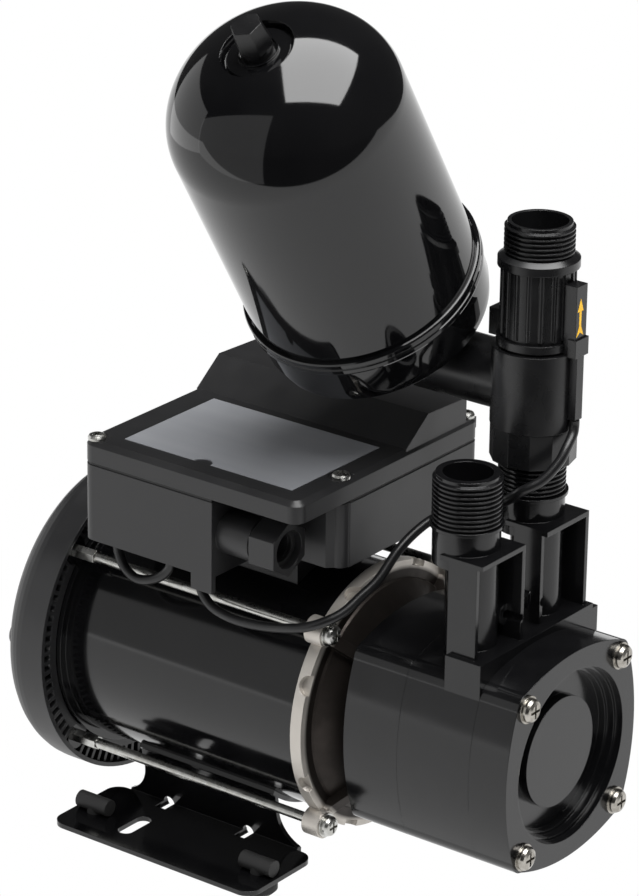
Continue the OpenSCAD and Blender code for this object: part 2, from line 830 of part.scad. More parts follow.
module fan() color(matt_black) difference() {
    union() {
        rod_x(fan_x0, fan_x0 + fan_hub_len, fan_hub_r);
        rod_x(fan_x0 + fan_hub_len - fan_step - fan_disc_t, fan_x0 + fan_hub_len - fan_step, fan_r * fan_disc_share);
        for (i = [0 : fan_blades - 1]) rotate_about_axis(i * 360 / fan_blades)
            translate([fan_x0 + fan_step, -blade_t / 2, axis_h + fan_hub_r - fan_step])
                cube([fan_hub_len - 2 * fan_step - fan_disc_t / 2, blade_t, fan_r - fan_hub_r + fan_step]);
    }
    rod_x(fan_x0 - over, fan_x0 + fan_hub_len + over, shaft_r);
}

// Side of the cowl as a turned line, inset by a wall
function cowl_line(inset, x1) = concat(
    [[x1, cowl_r - inset]],
    [for (k = [0 : 8]) [cowl_x0 + cowl_round - (cowl_round - inset) * sin(k * 90 / 8),
                        cowl_r - cowl_round + (cowl_round - inset) * cos(k * 90 / 8)]],
    [[cowl_x0 + inset, 0]]);

module fan_cowl() color(matt_black) {
    difference() {
        union() {
            difference() {
                turned(concat(cowl_line(0, cowl_x1), [[cowl_x0 + cowl_wall, 0]],
                       [for (i = [len(cowl_line(cowl_wall, cowl_x1)) - 2 : -1 : 0]) cowl_line(cowl_wall, cowl_x1)[i]]));
                for (i = [0 : back_slots - 1]) rotate_about_axis(i * 360 / back_slots)
                    translate([cowl_x0 - over, -back_slot_w / 2, axis_h + back_slot_in_r])
                        cube([cowl_wall + 2 * over, back_slot_w, back_slot_out_r - back_slot_in_r]);
            }
            ring_x(ring_x1 - ring_len, ring_x1, ring_in_r, ring_in_r + ring_w);
            for (i = [0 : cowl_spokes - 1]) rotate_about_axis((i + 0.5) * 360 / cowl_spokes)
                translate([ring_x1 - ring_len, -spoke_w / 2, axis_h + ring_in_r + ring_w / 2])
                    cube([ring_len, spoke_w, cowl_r - cowl_wall / 2 - ring_in_r - ring_w / 2]);
            translate([cowl_x0 + over, knob_y, axis_h + knob_z]) rotate([0, -90, 0])
                rotate_extrude() polygon([[0, 0], [knob_r, 0], [knob_r, knob_len + over - knob_round],
                                          [knob_r - knob_round / 2, knob_len + over - knob_round / 3],
                                          [knob_r - knob_round, knob_len + over], [0, knob_len + over]]);
        }
        four(rod_half) rod_x(rear_rim_x0 - over, cowl_x1 + over, ear_r + soft_gap);
    }
}

module tie_screws() color(zinc) four(rod_half)
    translate([ear_x1 + washer_t, 0, axis_h]) rotate([0, 90, 0])
        pan_screw(rod_head_r, rod_head_h, rod_r, ear_x1 + washer_t - rear_rim_x0 - rod_tail / 2);

module tie_screw_washers() color(zinc) four(rod_half)
    translate([ear_x1, 0, axis_h]) rotate([0, 90, 0]) difference() {
        cylinder(r = washer_r, h = washer_t);
        translate([0, 0, -over]) cylinder(r = rod_r + slip, h = washer_t + 2 * over);
    }

module tie_screw_nuts() color(zinc) four(rod_half)
    translate([rear_rim_x1 - 0.3 * rear_rim_w, 0, axis_h]) rotate([0, 90, 0]) difference() {
        cylinder(r = rod_nut_r, h = rod_nut_len, $fn = 6);
        translate([0, 0, -over]) cylinder(r = rod_r + slip, h = rod_nut_len + 2 * over);
    }

// Pump head

module pump_adapter() color(black) difference() {
    head_block(adapter_x0, adapter_len);
    four(screw_half) rod_x(adapter_x0 + body_wall, body_x0 + over, cover_screw_r + slip);
    rod_x(adapter_x0 - over, body_x0, web_hole_r);
    rod_x(seal_bore_x0, body_x0 + over, seal_bore_r);
    for (k = [0 : 3]) rotate_about_axis(k * 90)
        rod_x(adapter_x0 - over, adapter_x0 + fix_depth, fix_screw_r + slip, fix_radius);
}

module adapter_screws() color(zinc) for (k = [0 : 3]) rotate_about_axis(k * 90)
    translate([bracket_x1 - bracket_disc_t, fix_radius, axis_h]) rotate([0, -90, 0])
        pan_screw(fix_head_r, fix_head_h, fix_screw_r, bracket_disc_t + fix_depth - over);

module seal_seat() color(white_part) ring_x(seal_bore_x0, seal_bore_x0 + seat_len, seat_in_r, seal_bore_r - slip);

module seal_head() color(steel) turned([
    [seal_bore_x0 + seat_len + running, shaft_r], [seal_bore_x0 + seat_len + running, head_r * 0.8],
    [seal_bore_x0 + seat_len + head_len / 3, head_r * 0.8], [seal_bore_x0 + seat_len + head_len / 3, head_r],
    [seal_bore_x0 + seat_len + head_len, head_r], [seal_bore_x0 + seat_len + head_len, shaft_r]]);

module impeller() color(white_part) difference() {
    union() {
        rod_x(impeller_x0, shaft_x1, impeller_hub_r);
        rod_x((impeller_x0 + shaft_x1 - impeller_disc_t) / 2, (impeller_x0 + shaft_x1 + impeller_disc_t) / 2, impeller_r);
        for (i = [0 : impeller_vanes - 1]) rotate_about_axis(i * 360 / impeller_vanes)
            translate([impeller_x0, -vane_t / 2, axis_h + impeller_r - vane_len])
                cube([impeller_len, vane_t, vane_len - slip]);
    }
    rod_x(impeller_x0 - over, shaft_x1 + over, shaft_r);
}

// One port tower, on the side given by the sign
module tower(side) {
    y = side * port_gap / 2;
    upright(port_x, y, concat([[0, collar_z0 - plate_t], [collar_r, collar_z0 - plate_t],
        [collar_r, port_top - thread_lead - thread_h - lip_t], [lip_r, port_top - thread_lead - thread_h - lip_t],
        [lip_r, port_top - thread_lead - thread_h]],
        thread_profile(port_top - thread_lead - thread_h, thread_turns, side > 0 ? joint_thread_r : thread_r, port_top), [[0, port_top]]));
    translate([port_x - plate_back, y - plate_half, axis_h + plate_h - plate_t])
        cube([plate_front + plate_back, 2 * plate_half, plate_t]);
    translate([port_x + duct_shift, y, axis_h + chamber_r]) cylinder(r = duct_r, h = plate_h - chamber_r - plate_t / 2);
    translate([port_x + plate_back, y - plate_half, axis_h + chamber_r])
        cube([near_rib_end - plate_back, tower_rib_t, plate_h - chamber_r - plate_t / 2]);
    translate([port_x + plate_back, y + plate_half - tower_rib_t, axis_h + chamber_r])
        cube([plate_front - plate_back, tower_rib_t, plate_h - chamber_r - plate_t / 2]);
    translate([port_x + plate_back, y - plate_half, axis_h + chamber_r])
        cube([tower_rib_t, 2 * plate_half, plate_h - chamber_r - plate_t / 2]);
}

module pump_body() color(black) difference() {
    union() {
        head_block(body_x0, body_len);
        for (side = [-1, 1]) tower(side);
        translate([port_x + shoulder_start, -head_half, axis_h + screw_half])
            cube([cover_x0 - port_x - shoulder_start, 2 * head_half, shoulder_h - screw_half]);
        for (side = [-1, 1]) rod_x(port_x + plate_back, port_x + duct_shift + boss_pair_len, boss_pair_r,
                                   side * boss_pair_y, boss_pair_h);
        translate([cover_x0 - lug_len, head_half - over, axis_h + lug_h0]) cube([lug_len, lug_out + over, lug_h1 - lug_h0]);
    }
    for (side = [-1, 1]) {
        translate([port_x, side * port_gap / 2, collar_z0]) cylinder(r = port_bore_r, h = port_top - collar_z0 + over);
        translate([port_x + duct_shift, side * port_gap / 2, axis_h + chamber_r * 0.6])
            cylinder(r = duct_bore_r, h = collar_z0 - axis_h - chamber_r * 0.6 + slip);
        rod_x(port_x + duct_shift + duct_r / 2, port_x + 3 * boss_pair_len, boss_pair_bore_r,
              side * boss_pair_y, boss_pair_h);
    }
    four(screw_half) rod_x(body_x0 - over, cover_x0 + over, cover_screw_r + slip);
    rod_x(chamber_x0, cover_x0 + over, chamber_r);
    rod_x(body_x0 - over, chamber_x0 + over, seal_bore_r * 0.8);
    ring_x(body_x0 - over, body_x0 + groove_depth, body_groove_r, body_groove_r + groove_w);
    ring_x(cover_x0 - groove_depth, cover_x0 + over, groove_in_r, groove_in_r + groove_w);
}

// A round seal ring squeezed flat into its groove
module seal_ring(x0, r_in) color(rubber_black) ring_x(x0, x0 + groove_depth, r_in + slip, r_in + groove_w - slip);

module body_seal() seal_ring(body_x0, body_groove_r);

module cover_seal() seal_ring(cover_x0 - groove_depth, groove_in_r);

module pump_cover() color(black) difference() {
    union() {
        head_block(cover_x0, cover_len);
        rod_x(cover_x0 - cover_plug_len, cover_x0 + over, chamber_r - slip);
    }
    turned(concat([[cover_x1 + over, boss_r], [cover_x1 + over, recess_r]],
        [for (i = [0 : recess_steps - 1], k = [0, 1]) [cover_x1 - recess_floor * (i + k) / recess_steps, recess_r - i * recess_step_r]],
        [[cover_x1 - recess_floor, boss_r]]));
    rod_x(cover_x1 - boss_back, cover_x1 + over, boss_r + slip);
    rod_x(cover_x0 - cover_plug_len - over, cover_x0, web_hole_r);
    four(screw_half) rod_x(cover_x0 - over, cover_x1 + over, cover_screw_r + slip);
    ring_x(cover_x0 - cover_plug_len - over, cover_x0 - over, impeller_hub_r, chamber_r - body_wall);
}

module cover_screws() color(steel) four(screw_half)
    translate([cover_x1 + cover_washer_t, 0, axis_h]) rotate([0, 90, 0]) {
        pan_screw(cover_head_r, cover_head_h, cover_screw_r,
                  cover_x1 + cover_washer_t - adapter_x0 - body_wall - over);
        translate([0, 0, -cover_washer_t]) cylinder(r = cover_washer_r, h = cover_washer_t);
    }

// Outlet fittings

module coupling_nut() color(black) difference() {
    union() {
        translate([port_x, outlet_y, nut_z0]) cylinder(r = nut_corner_r, h = nut_z1 - nut_z0, $fn = nut_sides);
    }
    translate([port_x, outlet_y, nut_z0 - over]) cylinder(r = joint_thread_r + running, h = tee_z0 + tee_flange_t - nut_z0 + over);
    translate([port_x, outlet_y, nut_z0]) cylinder(r = tee_neck_r + running, h = nut_z1 - nut_z0 + over);
}

module coupling_washer() color(white_part) upright(port_x, outlet_y, [
    [gasket_in_r, port_top], [gasket_out_r, port_top], [gasket_out_r, tee_z0], [gasket_in_r, tee_z0]]);

module tee_body() color(black) difference() {
    union() {
        upright(port_x, outlet_y, [[0, tee_z0], [tee_flange_r, tee_z0], [tee_flange_r, tee_z0 + tee_flange_t],
            [tee_neck_r, tee_z0 + tee_flange_t], [tee_neck_r, tee_body_z0], [tee_r, tee_body_z0], [tee_r, tee_z1],
            [0, tee_z1]]);
        translate([branch_x0, outlet_y, branch_z]) rotate([0, 90, 0]) cylinder(r = branch_r, h = port_x - branch_x0);
    }
    translate([port_x, outlet_y, tee_z0 - over]) cylinder(r = seat_bore_r, h = float_seat_z - tee_z0 + 2 * over);
    translate([port_x, outlet_y, float_seat_z]) cylinder(r = flow_bore_r, h = tee_z1 - float_seat_z);
    translate([port_x, outlet_y, tee_z1 - socket_depth]) cylinder(r = socket_r, h = socket_depth + over);
    translate([branch_x0 - over, outlet_y, branch_z]) rotate([0, 90, 0])
        cylinder(r = flow_bore_r, h = port_x - branch_x0);
}

module flow_float() color(white_part) upright(port_x, outlet_y, [
    [float_bore_r, float_seat_z + soft_gap], [float_r, float_seat_z + soft_gap],
    [float_r, float_seat_z + soft_gap + float_h], [float_bore_r, float_seat_z + soft_gap + float_h]]);

module valve_body() color(black) difference() {
    union() {
        upright(port_x, outlet_y, concat([[0, valve_z0 - socket_depth + seal_t], [socket_r - slip, valve_z0 - socket_depth + seal_t],
            [socket_r - slip, valve_z0], [valve_r, valve_z0], [valve_r, valve_ring_z], [valve_ring_r, valve_ring_z],
            [valve_ring_r, top_z0 - valve_ring_h / 3], [thread_r, top_z0]],
            thread_profile(top_z0, floor((top_thread_h - thread_lead) / thread_pitch), thread_r, top_z1), [[0, top_z1]]));
        for (i = [0 : valve_ribs - 1]) translate([port_x, outlet_y, 0]) rotate([0, 0, (i + 0.5) * 360 / valve_ribs])
            translate([valve_r - rib_r / 3, 0, clip_z0 + clip_h + rib_gap])
                cylinder(r = rib_r, h = valve_ring_z - clip_z0 - clip_h - rib_gap);
    }
    translate([port_x, outlet_y, valve_z0 - socket_depth]) cylinder(r = flow_bore_r, h = check_seat_z - valve_z0 + socket_depth);
    translate([port_x, outlet_y, valve_z0]) cylinder(r = check_seat_r, h = check_seat_z + check_seat_t - valve_z0 + over);
    difference() {
        translate([port_x, outlet_y, check_seat_z + check_seat_t]) cylinder(r = top_bore_r, h = top_z1);
        translate([port_x, outlet_y, spider_z]) {
            cylinder(r = spider_hub_r, h = spider_t);
            for (turn = [0 : 60 : 120]) rotate([0, 0, turn])
                translate([-top_bore_r - over, -spider_arm_w / 2, 0]) cube([2 * (top_bore_r + over), spider_arm_w, spider_t]);
        }
    }
    translate([port_x, outlet_y, spider_z - over]) cylinder(r = check_stem_r + running, h = spider_t + 2 * over);
}

module valve_seal() color(rubber_black) upright(port_x, outlet_y, [
    [flow_bore_r + 2 * slip, valve_z0 - socket_depth], [socket_r - slip, valve_z0 - socket_depth],
    [socket_r - slip, valve_z0 - socket_depth + seal_t], [flow_bore_r + 2 * slip, valve_z0 - socket_depth + seal_t]]);

module check_valve() color(white_part) upright(port_x, outlet_y, [
    [0, check_seat_z + check_seat_t], [check_r, check_seat_z + check_seat_t],
    [check_r, check_seat_z + check_seat_t + check_t], [check_stem_r, check_seat_z + check_seat_t + check_t],
    [check_stem_r, check_seat_z + check_stem_len + check_seat_t], [0, check_seat_z + check_stem_len + check_seat_t]]);

// The valve spring as one helix of round wire between disc and spider
module check_spring() color(steel) {
    z0 = check_seat_z + check_seat_t + check_t + spring_wire_r + slip;
    rise = spider_z - z0 - spring_wire_r - slip;
    steps = spring_turns * spring_steps;
    route = [for (i = [0 : steps]) [port_x + spring_r * cos(i * 360 / spring_steps),
                                    outlet_y + spring_r * sin(i * 360 / spring_steps), z0 + rise * i / steps]];
    tube_along(route, spring_wire_r, spring_sides, [0, 0, 1]);
}

module valve_clip() color(matt_black) difference() {
    union() {
        translate([port_x, outlet_y, clip_z0]) cylinder(r = valve_r + clip_t, h = clip_h);
        translate([port_x - valve_r - clip_block_out, outlet_y - clip_block_w / 2, clip_z0])
            cube([clip_block_out + clip_t, clip_block_w, clip_block_h]);
    }
    translate([port_x, outlet_y, clip_z0 - over]) cylinder(r = valve_r + slip, h = clip_h + rib_gap + over);
    translate([port_x, outlet_y, clip_z0 + clip_h]) cylinder(r = valve_r + rib_r + slip, h = clip_block_h);
    translate([port_x, outlet_y - reed_w / 2 - soft_gap, clip_z0 - over])
        cube([2 * valve_r, reed_w + 2 * soft_gap, clip_block_h + 2 * over]);
}

module reed_housing() color(black) difference() {
    union() {
        translate([reed_x0 - over, outlet_y - reed_w / 2, reed_step_z])
            cube([reed_out - rib_r + over, reed_w, reed_z1 - reed_step_z]);
        translate([reed_low_x0 - over, outlet_y - reed_low_w / 2, reed_z0]) cube([reed_low_out + over, reed_low_w, reed_step_z - reed_z0 + over]);
        translate([reed_low_x0, outlet_y - reed_w / 2 - reed_badge_out, reed_step_z])
            cube([reed_x0 + reed_out - rib_r + reed_badge_out - reed_low_x0, reed_w + 2 * reed_badge_out, reed_badge_z - reed_step_z]);
    }
    translate([port_x, outlet_y, 0]) cylinder(r = tee_r + slip, h = tee_z1 + slip);
    translate([port_x, outlet_y, 0]) cylinder(r = valve_r + rib_r + slip, h = reed_z1 + over);
    translate([reed_low_x0 + reed_wall, outlet_y - reed_low_w / 2 + reed_wall, reed_z0 + reed_wall])
        cube([reed_low_out - 2 * reed_wall + slip, reed_low_w - 2 * reed_wall, reed_step_z - reed_z0 - reed_wall]);
}

module reed_switch() color(white_part)
    translate([reed_low_x0 + reed_low_out / 2, outlet_y, reed_z0 + reed_wall]) cylinder(r = glass_r * 0.6, h = glass_len);

module switch_lead() color(rubber_black) tube_along(smooth_route(switch_route, lead_steps), lead_r, lead_sides, [0, 1, 0]);

// Vessel

// The elbow: a level stub from the branch and a leaning stub up to the vessel
module vessel_elbow() color(black) difference() {
    union() {
        translate([vessel_x, outlet_y, branch_z]) rotate([0, 90, 0]) cylinder(r = branch_r, h = branch_x0 - vessel_x);
        translate([vessel_x, outlet_y, branch_z]) sphere(r = branch_r);
        on_vessel() cylinder(r = elbow_r, h = base_s0);
    }
    translate([vessel_x, outlet_y, branch_z]) rotate([0, 90, 0]) cylinder(r = flow_bore_r, h = branch_x0 - vessel_x + over);
    translate([vessel_x, outlet_y, branch_z]) sphere(r = flow_bore_r);
    on_vessel() cylinder(r = flow_bore_r, h = base_s0 + over);
}

// Outline of the lower shell, inset by a wall, from its middle to the seam
function base_line(inset) = [[flow_bore_r, base_s0 + inset], [base_flat_r, base_s0 + inset],
    [base_mid_r - inset * 0.4, base_mid_s + inset * 0.9], [base_side_r - inset, base_side_s + inset * 0.4],
    [vessel_r - inset, base_side_s + 3 * band_half / 2], [vessel_r - inset, seam_s]];

module vessel_base() color(black) on_vessel() rotate_extrude()
    polygon(concat(base_line(0), [for (i = [len(base_line(0)) - 1 : -1 : 0]) base_line(vessel_wall)[i]]));

// Outline of the dome, inset by a wall, from the seam to the sunk floor at its top
function dome_line(inset) = concat([[vessel_r - inset, seam_s + membrane_t]],
    [for (k = [0 : dome_steps]) let (a = asin(inset > 0 ? dome_in_share : dome_cut_share) * k / dome_steps)
        [(vessel_r - inset) * cos(a), vessel_straight + (dome_h - inset) * sin(a)]],
    [[dome_recess_r + inset, dome_top - inset], [stem_r + slip, dome_top - inset]]);

module vessel_dome() color(black) on_vessel() rotate_extrude()
    polygon(concat(dome_line(0), [for (i = [len(dome_line(0)) - 1 : -1 : 0]) dome_line(vessel_wall)[i]]));

module vessel_band() color(black) on_vessel() rotate_extrude() polygon([
    [vessel_r + slip, seam_s - band_half], [band_r - band_lip, seam_s - band_half],
    [band_r, seam_s - band_half + band_lip], [band_r, seam_s - band_bead], [band_r - band_bead, seam_s],
    [band_r, seam_s + band_bead], [band_r, seam_s + band_half - band_lip],
    [band_r - band_lip, seam_s + band_half], [vessel_r + slip, seam_s + band_half]]);

// The membrane: clamped between the shells and bulging into the dome
function membrane_line(inset) = [for (k = [0 : dome_steps]) let (a = 90 * k / dome_steps)
    [(vessel_r - vessel_wall - 2 * soft_gap - inset) * cos(a), seam_s + membrane_t + (membrane_rise - inset) * sin(a)]];

module vessel_diaphragm() color(rubber_black) on_vessel() rotate_extrude() polygon(concat(
    [[vessel_r, seam_s], [vessel_r, seam_s + membrane_t]], membrane_line(0),
    [for (i = [dome_steps : -1 : 0]) membrane_line(membrane_t)[i]],
    [[vessel_r - vessel_wall - 2 * soft_gap - membrane_t, seam_s]]));

module dome_washer() color(black) on_vessel() rotate_extrude() polygon([
    [stem_r + slip, dome_top], [washer_top_r, dome_top], [washer_top_r, dome_top + washer_top_t * 0.7],
    [washer_top_r - washer_top_t * 0.3, dome_top + washer_top_t], [washer_ridge_r, dome_top + washer_top_t],
    [washer_ridge_r, dome_top + washer_top_t + washer_ridge], [washer_ridge_r - washer_ridge, dome_top + washer_top_t + washer_ridge],
    [washer_ridge_r - washer_ridge, dome_top + washer_top_t], [stem_r + slip, dome_top + washer_top_t]]);

// Ends of the narrow neck in the air valve, which guides and seals the pin
neck_top = dome_top + stem_up - neck_in;
neck_low = neck_top - neck_len;

module air_stem() color(steel) on_vessel() rotate_extrude() polygon([
    [stem_bore_r, dome_top - stem_down], [stem_r + stem_foot, dome_top - stem_down],
    [stem_r + stem_foot, dome_top - vessel_wall - slip], [stem_r, dome_top - vessel_wall - slip],
    [stem_r, dome_top + stem_up], [stem_bore_r, dome_top + stem_up], [stem_bore_r, neck_top],
    [pin_r + running, neck_top], [pin_r + running, neck_low], [stem_bore_r, neck_low]]);

module air_pin() color(steel) on_vessel() rotate_extrude() polygon([
    [0, neck_low - pin_head_t], [pin_head_r, neck_low - pin_head_t], [pin_head_r, neck_low], [pin_r, neck_low],
    [pin_r, dome_top + stem_up - pin_in], [0, dome_top + stem_up - pin_in]]);

// The cap's six-sided grip, narrowing upwards
module cap_grip() {
    points = [for (level = [0, 1], k = [0 : 5]) let (r = level == 0 ? cap_grip_r : cap_r)
        [r * cos(60 * k + cap_grip_turn), r * sin(60 * k + cap_grip_turn), level * cap_grip_len]];
    walls = [for (k = [0 : 5]) let (j = (k + 1) % 6) [k, 6 + k, 6 + j, j]];
    polyhedron(points, concat(walls, [[for (k = [0 : 5]) k], [for (k = [5 : -1 : 0]) 6 + k]]));
}

module air_cap() color(black) on_vessel() difference() {
    union() {
        translate([0, 0, dome_top + washer_top_t]) cylinder(r = cap_r, h = cap_len - cap_grip_len + cap_wall);
        translate([0, 0, dome_top + washer_top_t + cap_len - cap_grip_len]) cap_grip();
    }
    translate([0, 0, dome_top + washer_top_t - over]) cylinder(r = stem_r + slip, h = cap_len - cap_wall + over);
}

// Terminal box

// The box's plan with the corner notched out for the gland
module base_plan(inset) {
    difference() {
        rounded(box_x0 + inset, box_x1 - inset, -box_half_w + inset, box_half_w - inset, box_corner_r - inset);
        polygon([[notch_x - inset, -box_half_w - over], [notch_x - inset, notch_y + inset],
                 [box_x1 - notch_chamfer - inset, notch_y + inset], [box_x1 + over - inset, notch_y + notch_chamfer + over + inset],
                 [box_x1 + over, -box_half_w - over]]);
    }
}

// Places of the lid's screws, seen from above
lid_screw_places = [[box_x0 + lid_screw_in, -box_half_w + lid_screw_in], [box_x1 - lid_screw_in, side_screw_y],
                    [box_x1 - lid_screw_in, box_half_w - lid_screw_in], [box_x0 + lid_screw_in, box_half_w - lid_screw_in]];

module box_base() color(matt_black) difference() {
    union() {
        difference() {
            translate([0, 0, box_z0]) linear_extrude(seam_z - box_z0) base_plan(0);
            translate([shelf_x, -box_half_w - over, box_z0 - over]) cube([box_len, 2 * (box_half_w + over), shelf_h + over]);
            difference() {
                translate([0, 0, box_z0 + box_wall]) linear_extrude(seam_z - box_z0) base_plan(box_wall);
                translate([shelf_x - box_wall, -box_half_w, box_z0]) cube([box_len, 2 * box_half_w, shelf_h + box_wall]);
            }
        }
        for (p = lid_screw_places) translate([p[0], p[1], box_z0 + (p[0] > shelf_x ? shelf_h : 0)])
            cylinder(r = post_r, h = seam_z - box_z0 - (p[0] > shelf_x ? shelf_h : 0));
        translate([saddle_x0, -saddle_half, axis_h]) cube([shelf_x - saddle_x0, 2 * saddle_half, box_floor_h + over]);
        translate([tab_x0, -box_half_w, box_z0 - tab_h]) cube([notch_x - tab_x0, tab_t, tab_h + over]);
        translate([notch_x - over, gland_y, gland_z]) rotate([0, 90, 0]) cylinder(r = gland_r, h = gland_len + over);
        translate([notch_x - over, gland_y, gland_z]) rotate([0, 90, 0])
            cylinder(r = gland_thread_r, h = gland_len + gland_thread_len + over);
        for (x = [board_x0, board_x0 + board_len - 2 * post_r], y = [board_y0, board_y0 + board_w - 2 * post_r])
            translate([x + post_r, y + post_r, box_z0]) cylinder(r = post_r / 2, h = box_wall + board_h);
        for (x = [cap_body_x0 + cap_body_len / 5, cap_body_x0 + cap_body_len * 3 / 4])
            translate([x, cap_body_y - cap_body_r, box_z0]) cube([box_wall, 2 * cap_body_r, box_wall + cap_body_r]);
    }
    rod_x(box_x0, box_x1, shell_r + slip);
    for (p = lid_screw_places) translate([p[0], p[1], seam_z - post_bore]) cylinder(r = lid_screw_r + slip, h = post_bore + over);
    translate([notch_x - 2 * box_wall, gland_y, gland_z]) rotate([0, 90, 0])
        cylinder(r = gland_bore_r, h = gland_len + gland_thread_len + 2 * box_wall + over);
    rod_x(cap_body_x0 - slip, cap_body_x0 + cap_body_len + slip, cap_body_r + slip, cap_body_y, box_floor_h + box_wall + cap_body_r);
}

// Side of the raised rear part, as [y, z] points
function hump_line(inset) = [[hump_y0 + inset * 0.6, lid_z1 - lid_h / 2 - inset], [hump_y0 + inset * 0.6, lid_z1 - inset], [hump_y1 + inset * 0.3, hump_z1 - inset],
    [hump_y2, hump_z1 - hump_back_drop / 2 - inset], [hump_y3 - inset, lid_z1 + hump_back_drop - inset],
    [hump_y3 - inset, lid_z1 - lid_h / 2 - inset]];

// The raised rear part as a block along X
module hump_block(inset) {
    translate([box_x0 + lid_bevel / 2 + inset, 0, 0]) rotate([90, 0, 90])
        linear_extrude(box_len - lid_bevel - 2 * inset) polygon(hump_line(inset));
}

// The bevelled top layer of the lid
module lid_edge() {
    for (x = [box_x0 + box_corner_r, box_x1 - box_corner_r], s = [-1, 1])
        translate([x, s * (box_half_w - box_corner_r), lid_z1 - lid_bevel])
            cylinder(r1 = box_corner_r, r2 = box_corner_r - lid_bevel, h = lid_bevel);
    translate([box_x0 + box_corner_r, 0, lid_z1 - lid_bevel]) rotate([90, 0, 90]) linear_extrude(box_len - 2 * box_corner_r)
        polygon([[-box_half_w, 0], [box_half_w, 0], [box_half_w - lid_bevel, lid_bevel], [lid_bevel - box_half_w, lid_bevel]]);
    translate([(box_x0 + box_x1) / 2, box_half_w - box_corner_r, lid_z1 - lid_bevel]) rotate([90, 0, 0])
        linear_extrude(2 * (box_half_w - box_corner_r))
            polygon([[-box_len / 2, 0], [box_len / 2, 0], [box_len / 2 - lid_bevel, lid_bevel], [lid_bevel - box_len / 2, lid_bevel]]);
}

module box_lid() color(matt_black) difference() {
    union() {
        translate([0, 0, seam_z + gasket_w]) linear_extrude(lid_h - lid_bevel - gasket_w)
            rounded(box_x0, box_x1, -box_half_w, box_half_w, box_corner_r);
        lid_edge();
        hump_block(0);
    }
    difference() {
        union() {
            translate([0, 0, seam_z]) linear_extrude(lid_h - box_wall)
                rounded(box_x0 + box_wall, box_x1 - box_wall, -box_half_w + box_wall, box_half_w - box_wall, box_corner_r - box_wall);
            hump_block(box_wall);
        }
        for (p = lid_screw_places) translate([p[0], p[1], seam_z]) cylinder(r = post_r + box_wall / 2, h = lid_h);
        translate([notch_x - box_wall, -box_half_w, seam_z])
            cube([box_x1 - notch_x + box_wall, notch_y + box_half_w + box_wall, lid_h]);
    }
    for (p = lid_screw_places) {
        translate([p[0], p[1], seam_z]) cylinder(r = lid_screw_r + slip, h = lid_h + hump_h);
        translate([p[0], p[1], lid_z1 - lid_bevel / 4]) cylinder(r = screw_pit_r, h = hump_h + over);
    }
    translate([label_x0 - slip, label_y1 - label_w - slip, lid_z1 - label_pocket])
        cube([label_len + 2 * slip, label_w + 2 * slip, hump_h]);
}

module lid_gasket() color(rubber_black) translate([0, 0, seam_z]) linear_extrude(gasket_w) difference() {
    union() {
        difference() {
            base_plan(soft_gap);
            base_plan(box_wall);
        }
        for (p = lid_screw_places) translate([p[0], p[1]]) circle(r = post_r - soft_gap);
    }
    for (p = lid_screw_places) translate([p[0], p[1]]) circle(r = lid_screw_r + slip);
}

module lid_screws() color(zinc) for (p = lid_screw_places) translate([p[0], p[1], lid_z1 - lid_bevel / 4])
    pan_screw(lid_head_r, lid_head_h, lid_screw_r, lid_h - lid_bevel / 4 + post_bore - over);

module label_plate() color(silver) difference() {
    translate([label_x0, label_y1 - label_w, lid_z1 - label_pocket]) cube([label_len, label_w, label_t]);
    translate([label_x0 + label_len * label_notch_share, label_y1 - label_w, lid_z1 - over])
        cylinder(r = label_notch_r, h = 2 * over);
}

module gland_seal() color(rubber_black) translate([notch_x + gland_len + gland_thread_len, gland_y, gland_z]) rotate([0, 90, 0])
    difference() {
        cylinder(r = gland_thread_r - slip, h = gland_seal_t);
        translate([0, 0, -over]) cylinder(r = gland_bore_r + 2 * slip, h = gland_seal_t + 2 * over);
    }

module gland_nut() color(matt_black) translate([notch_x + gland_len + gland_nut_gap, gland_y, gland_z]) rotate([0, 90, 0])
    difference() {
        cylinder(r = gland_nut_r, h = gland_thread_len + gland_seal_t - gland_nut_gap + gland_nut_front, $fn = 6);
        translate([0, 0, -over]) cylinder(r = gland_thread_r + slip, h = gland_thread_len + gland_seal_t - gland_nut_gap + over);
        cylinder(r = gland_mouth_r, h = gland_thread_len + 2 * gland_nut_front + over);
    }

module capacitor() color(white_part) rod_x(cap_body_x0, cap_body_x0 + cap_body_len, cap_body_r, cap_body_y,
                                           box_floor_h + box_wall + cap_body_r);

module circuit_board() color(board_green) translate([board_x0, board_y0, box_z0 + box_wall + board_h])
    cube([board_len, board_w, board_t]);

module terminal_block() color(white_part) difference() {
    translate([board_x0 + board_w / 5, board_y0 + board_t, box_z0 + box_wall + board_h + board_t]) cube([block_len, block_w, block_h]);
    for (i = [0 : block_ways - 1]) translate([board_x0 + board_w / 5 + (i + 0.5) * block_len / block_ways,
            board_y0 + board_t + block_w / 2, box_z0 + box_wall + board_h + board_t + block_h / 2])
        cylinder(r = board_t, h = block_h);
}

module motor_lead() color(rubber_black) tube_along(smooth_route(motor_route, lead_steps), lead_r, lead_sides, [0, 1, 0]);

// Foot

// Plan of one flange, on the side given by the sign
module flange_plan(side) {
    mirror([0, side > 0 ? 0 : 1]) difference() {
        union() {
            rounded(foot_x0, foot_x0 + foot_len, foot_in_y, foot_half_w, foot_corner_r);
            translate([web_x0 - web_flare, foot_bend_y]) square([web_x1 - web_x0 + 2 * web_flare, foot_in_y - foot_bend_y + foot_corner_r]);
        }
        translate([0, slot_half]) for (s = [-1, 1]) translate([0, s * (slot_len - slot_w) / 2]) circle(r = slot_w / 2);
        translate([-slot_w / 2, slot_half - (slot_len - slot_w) / 2]) square([slot_w, slot_len - slot_w]);
        for (s = [-1, 1]) translate([foot_mid_x + s * pad_half, pad_y]) circle(r = pad_waist_r + slip);
    }
}

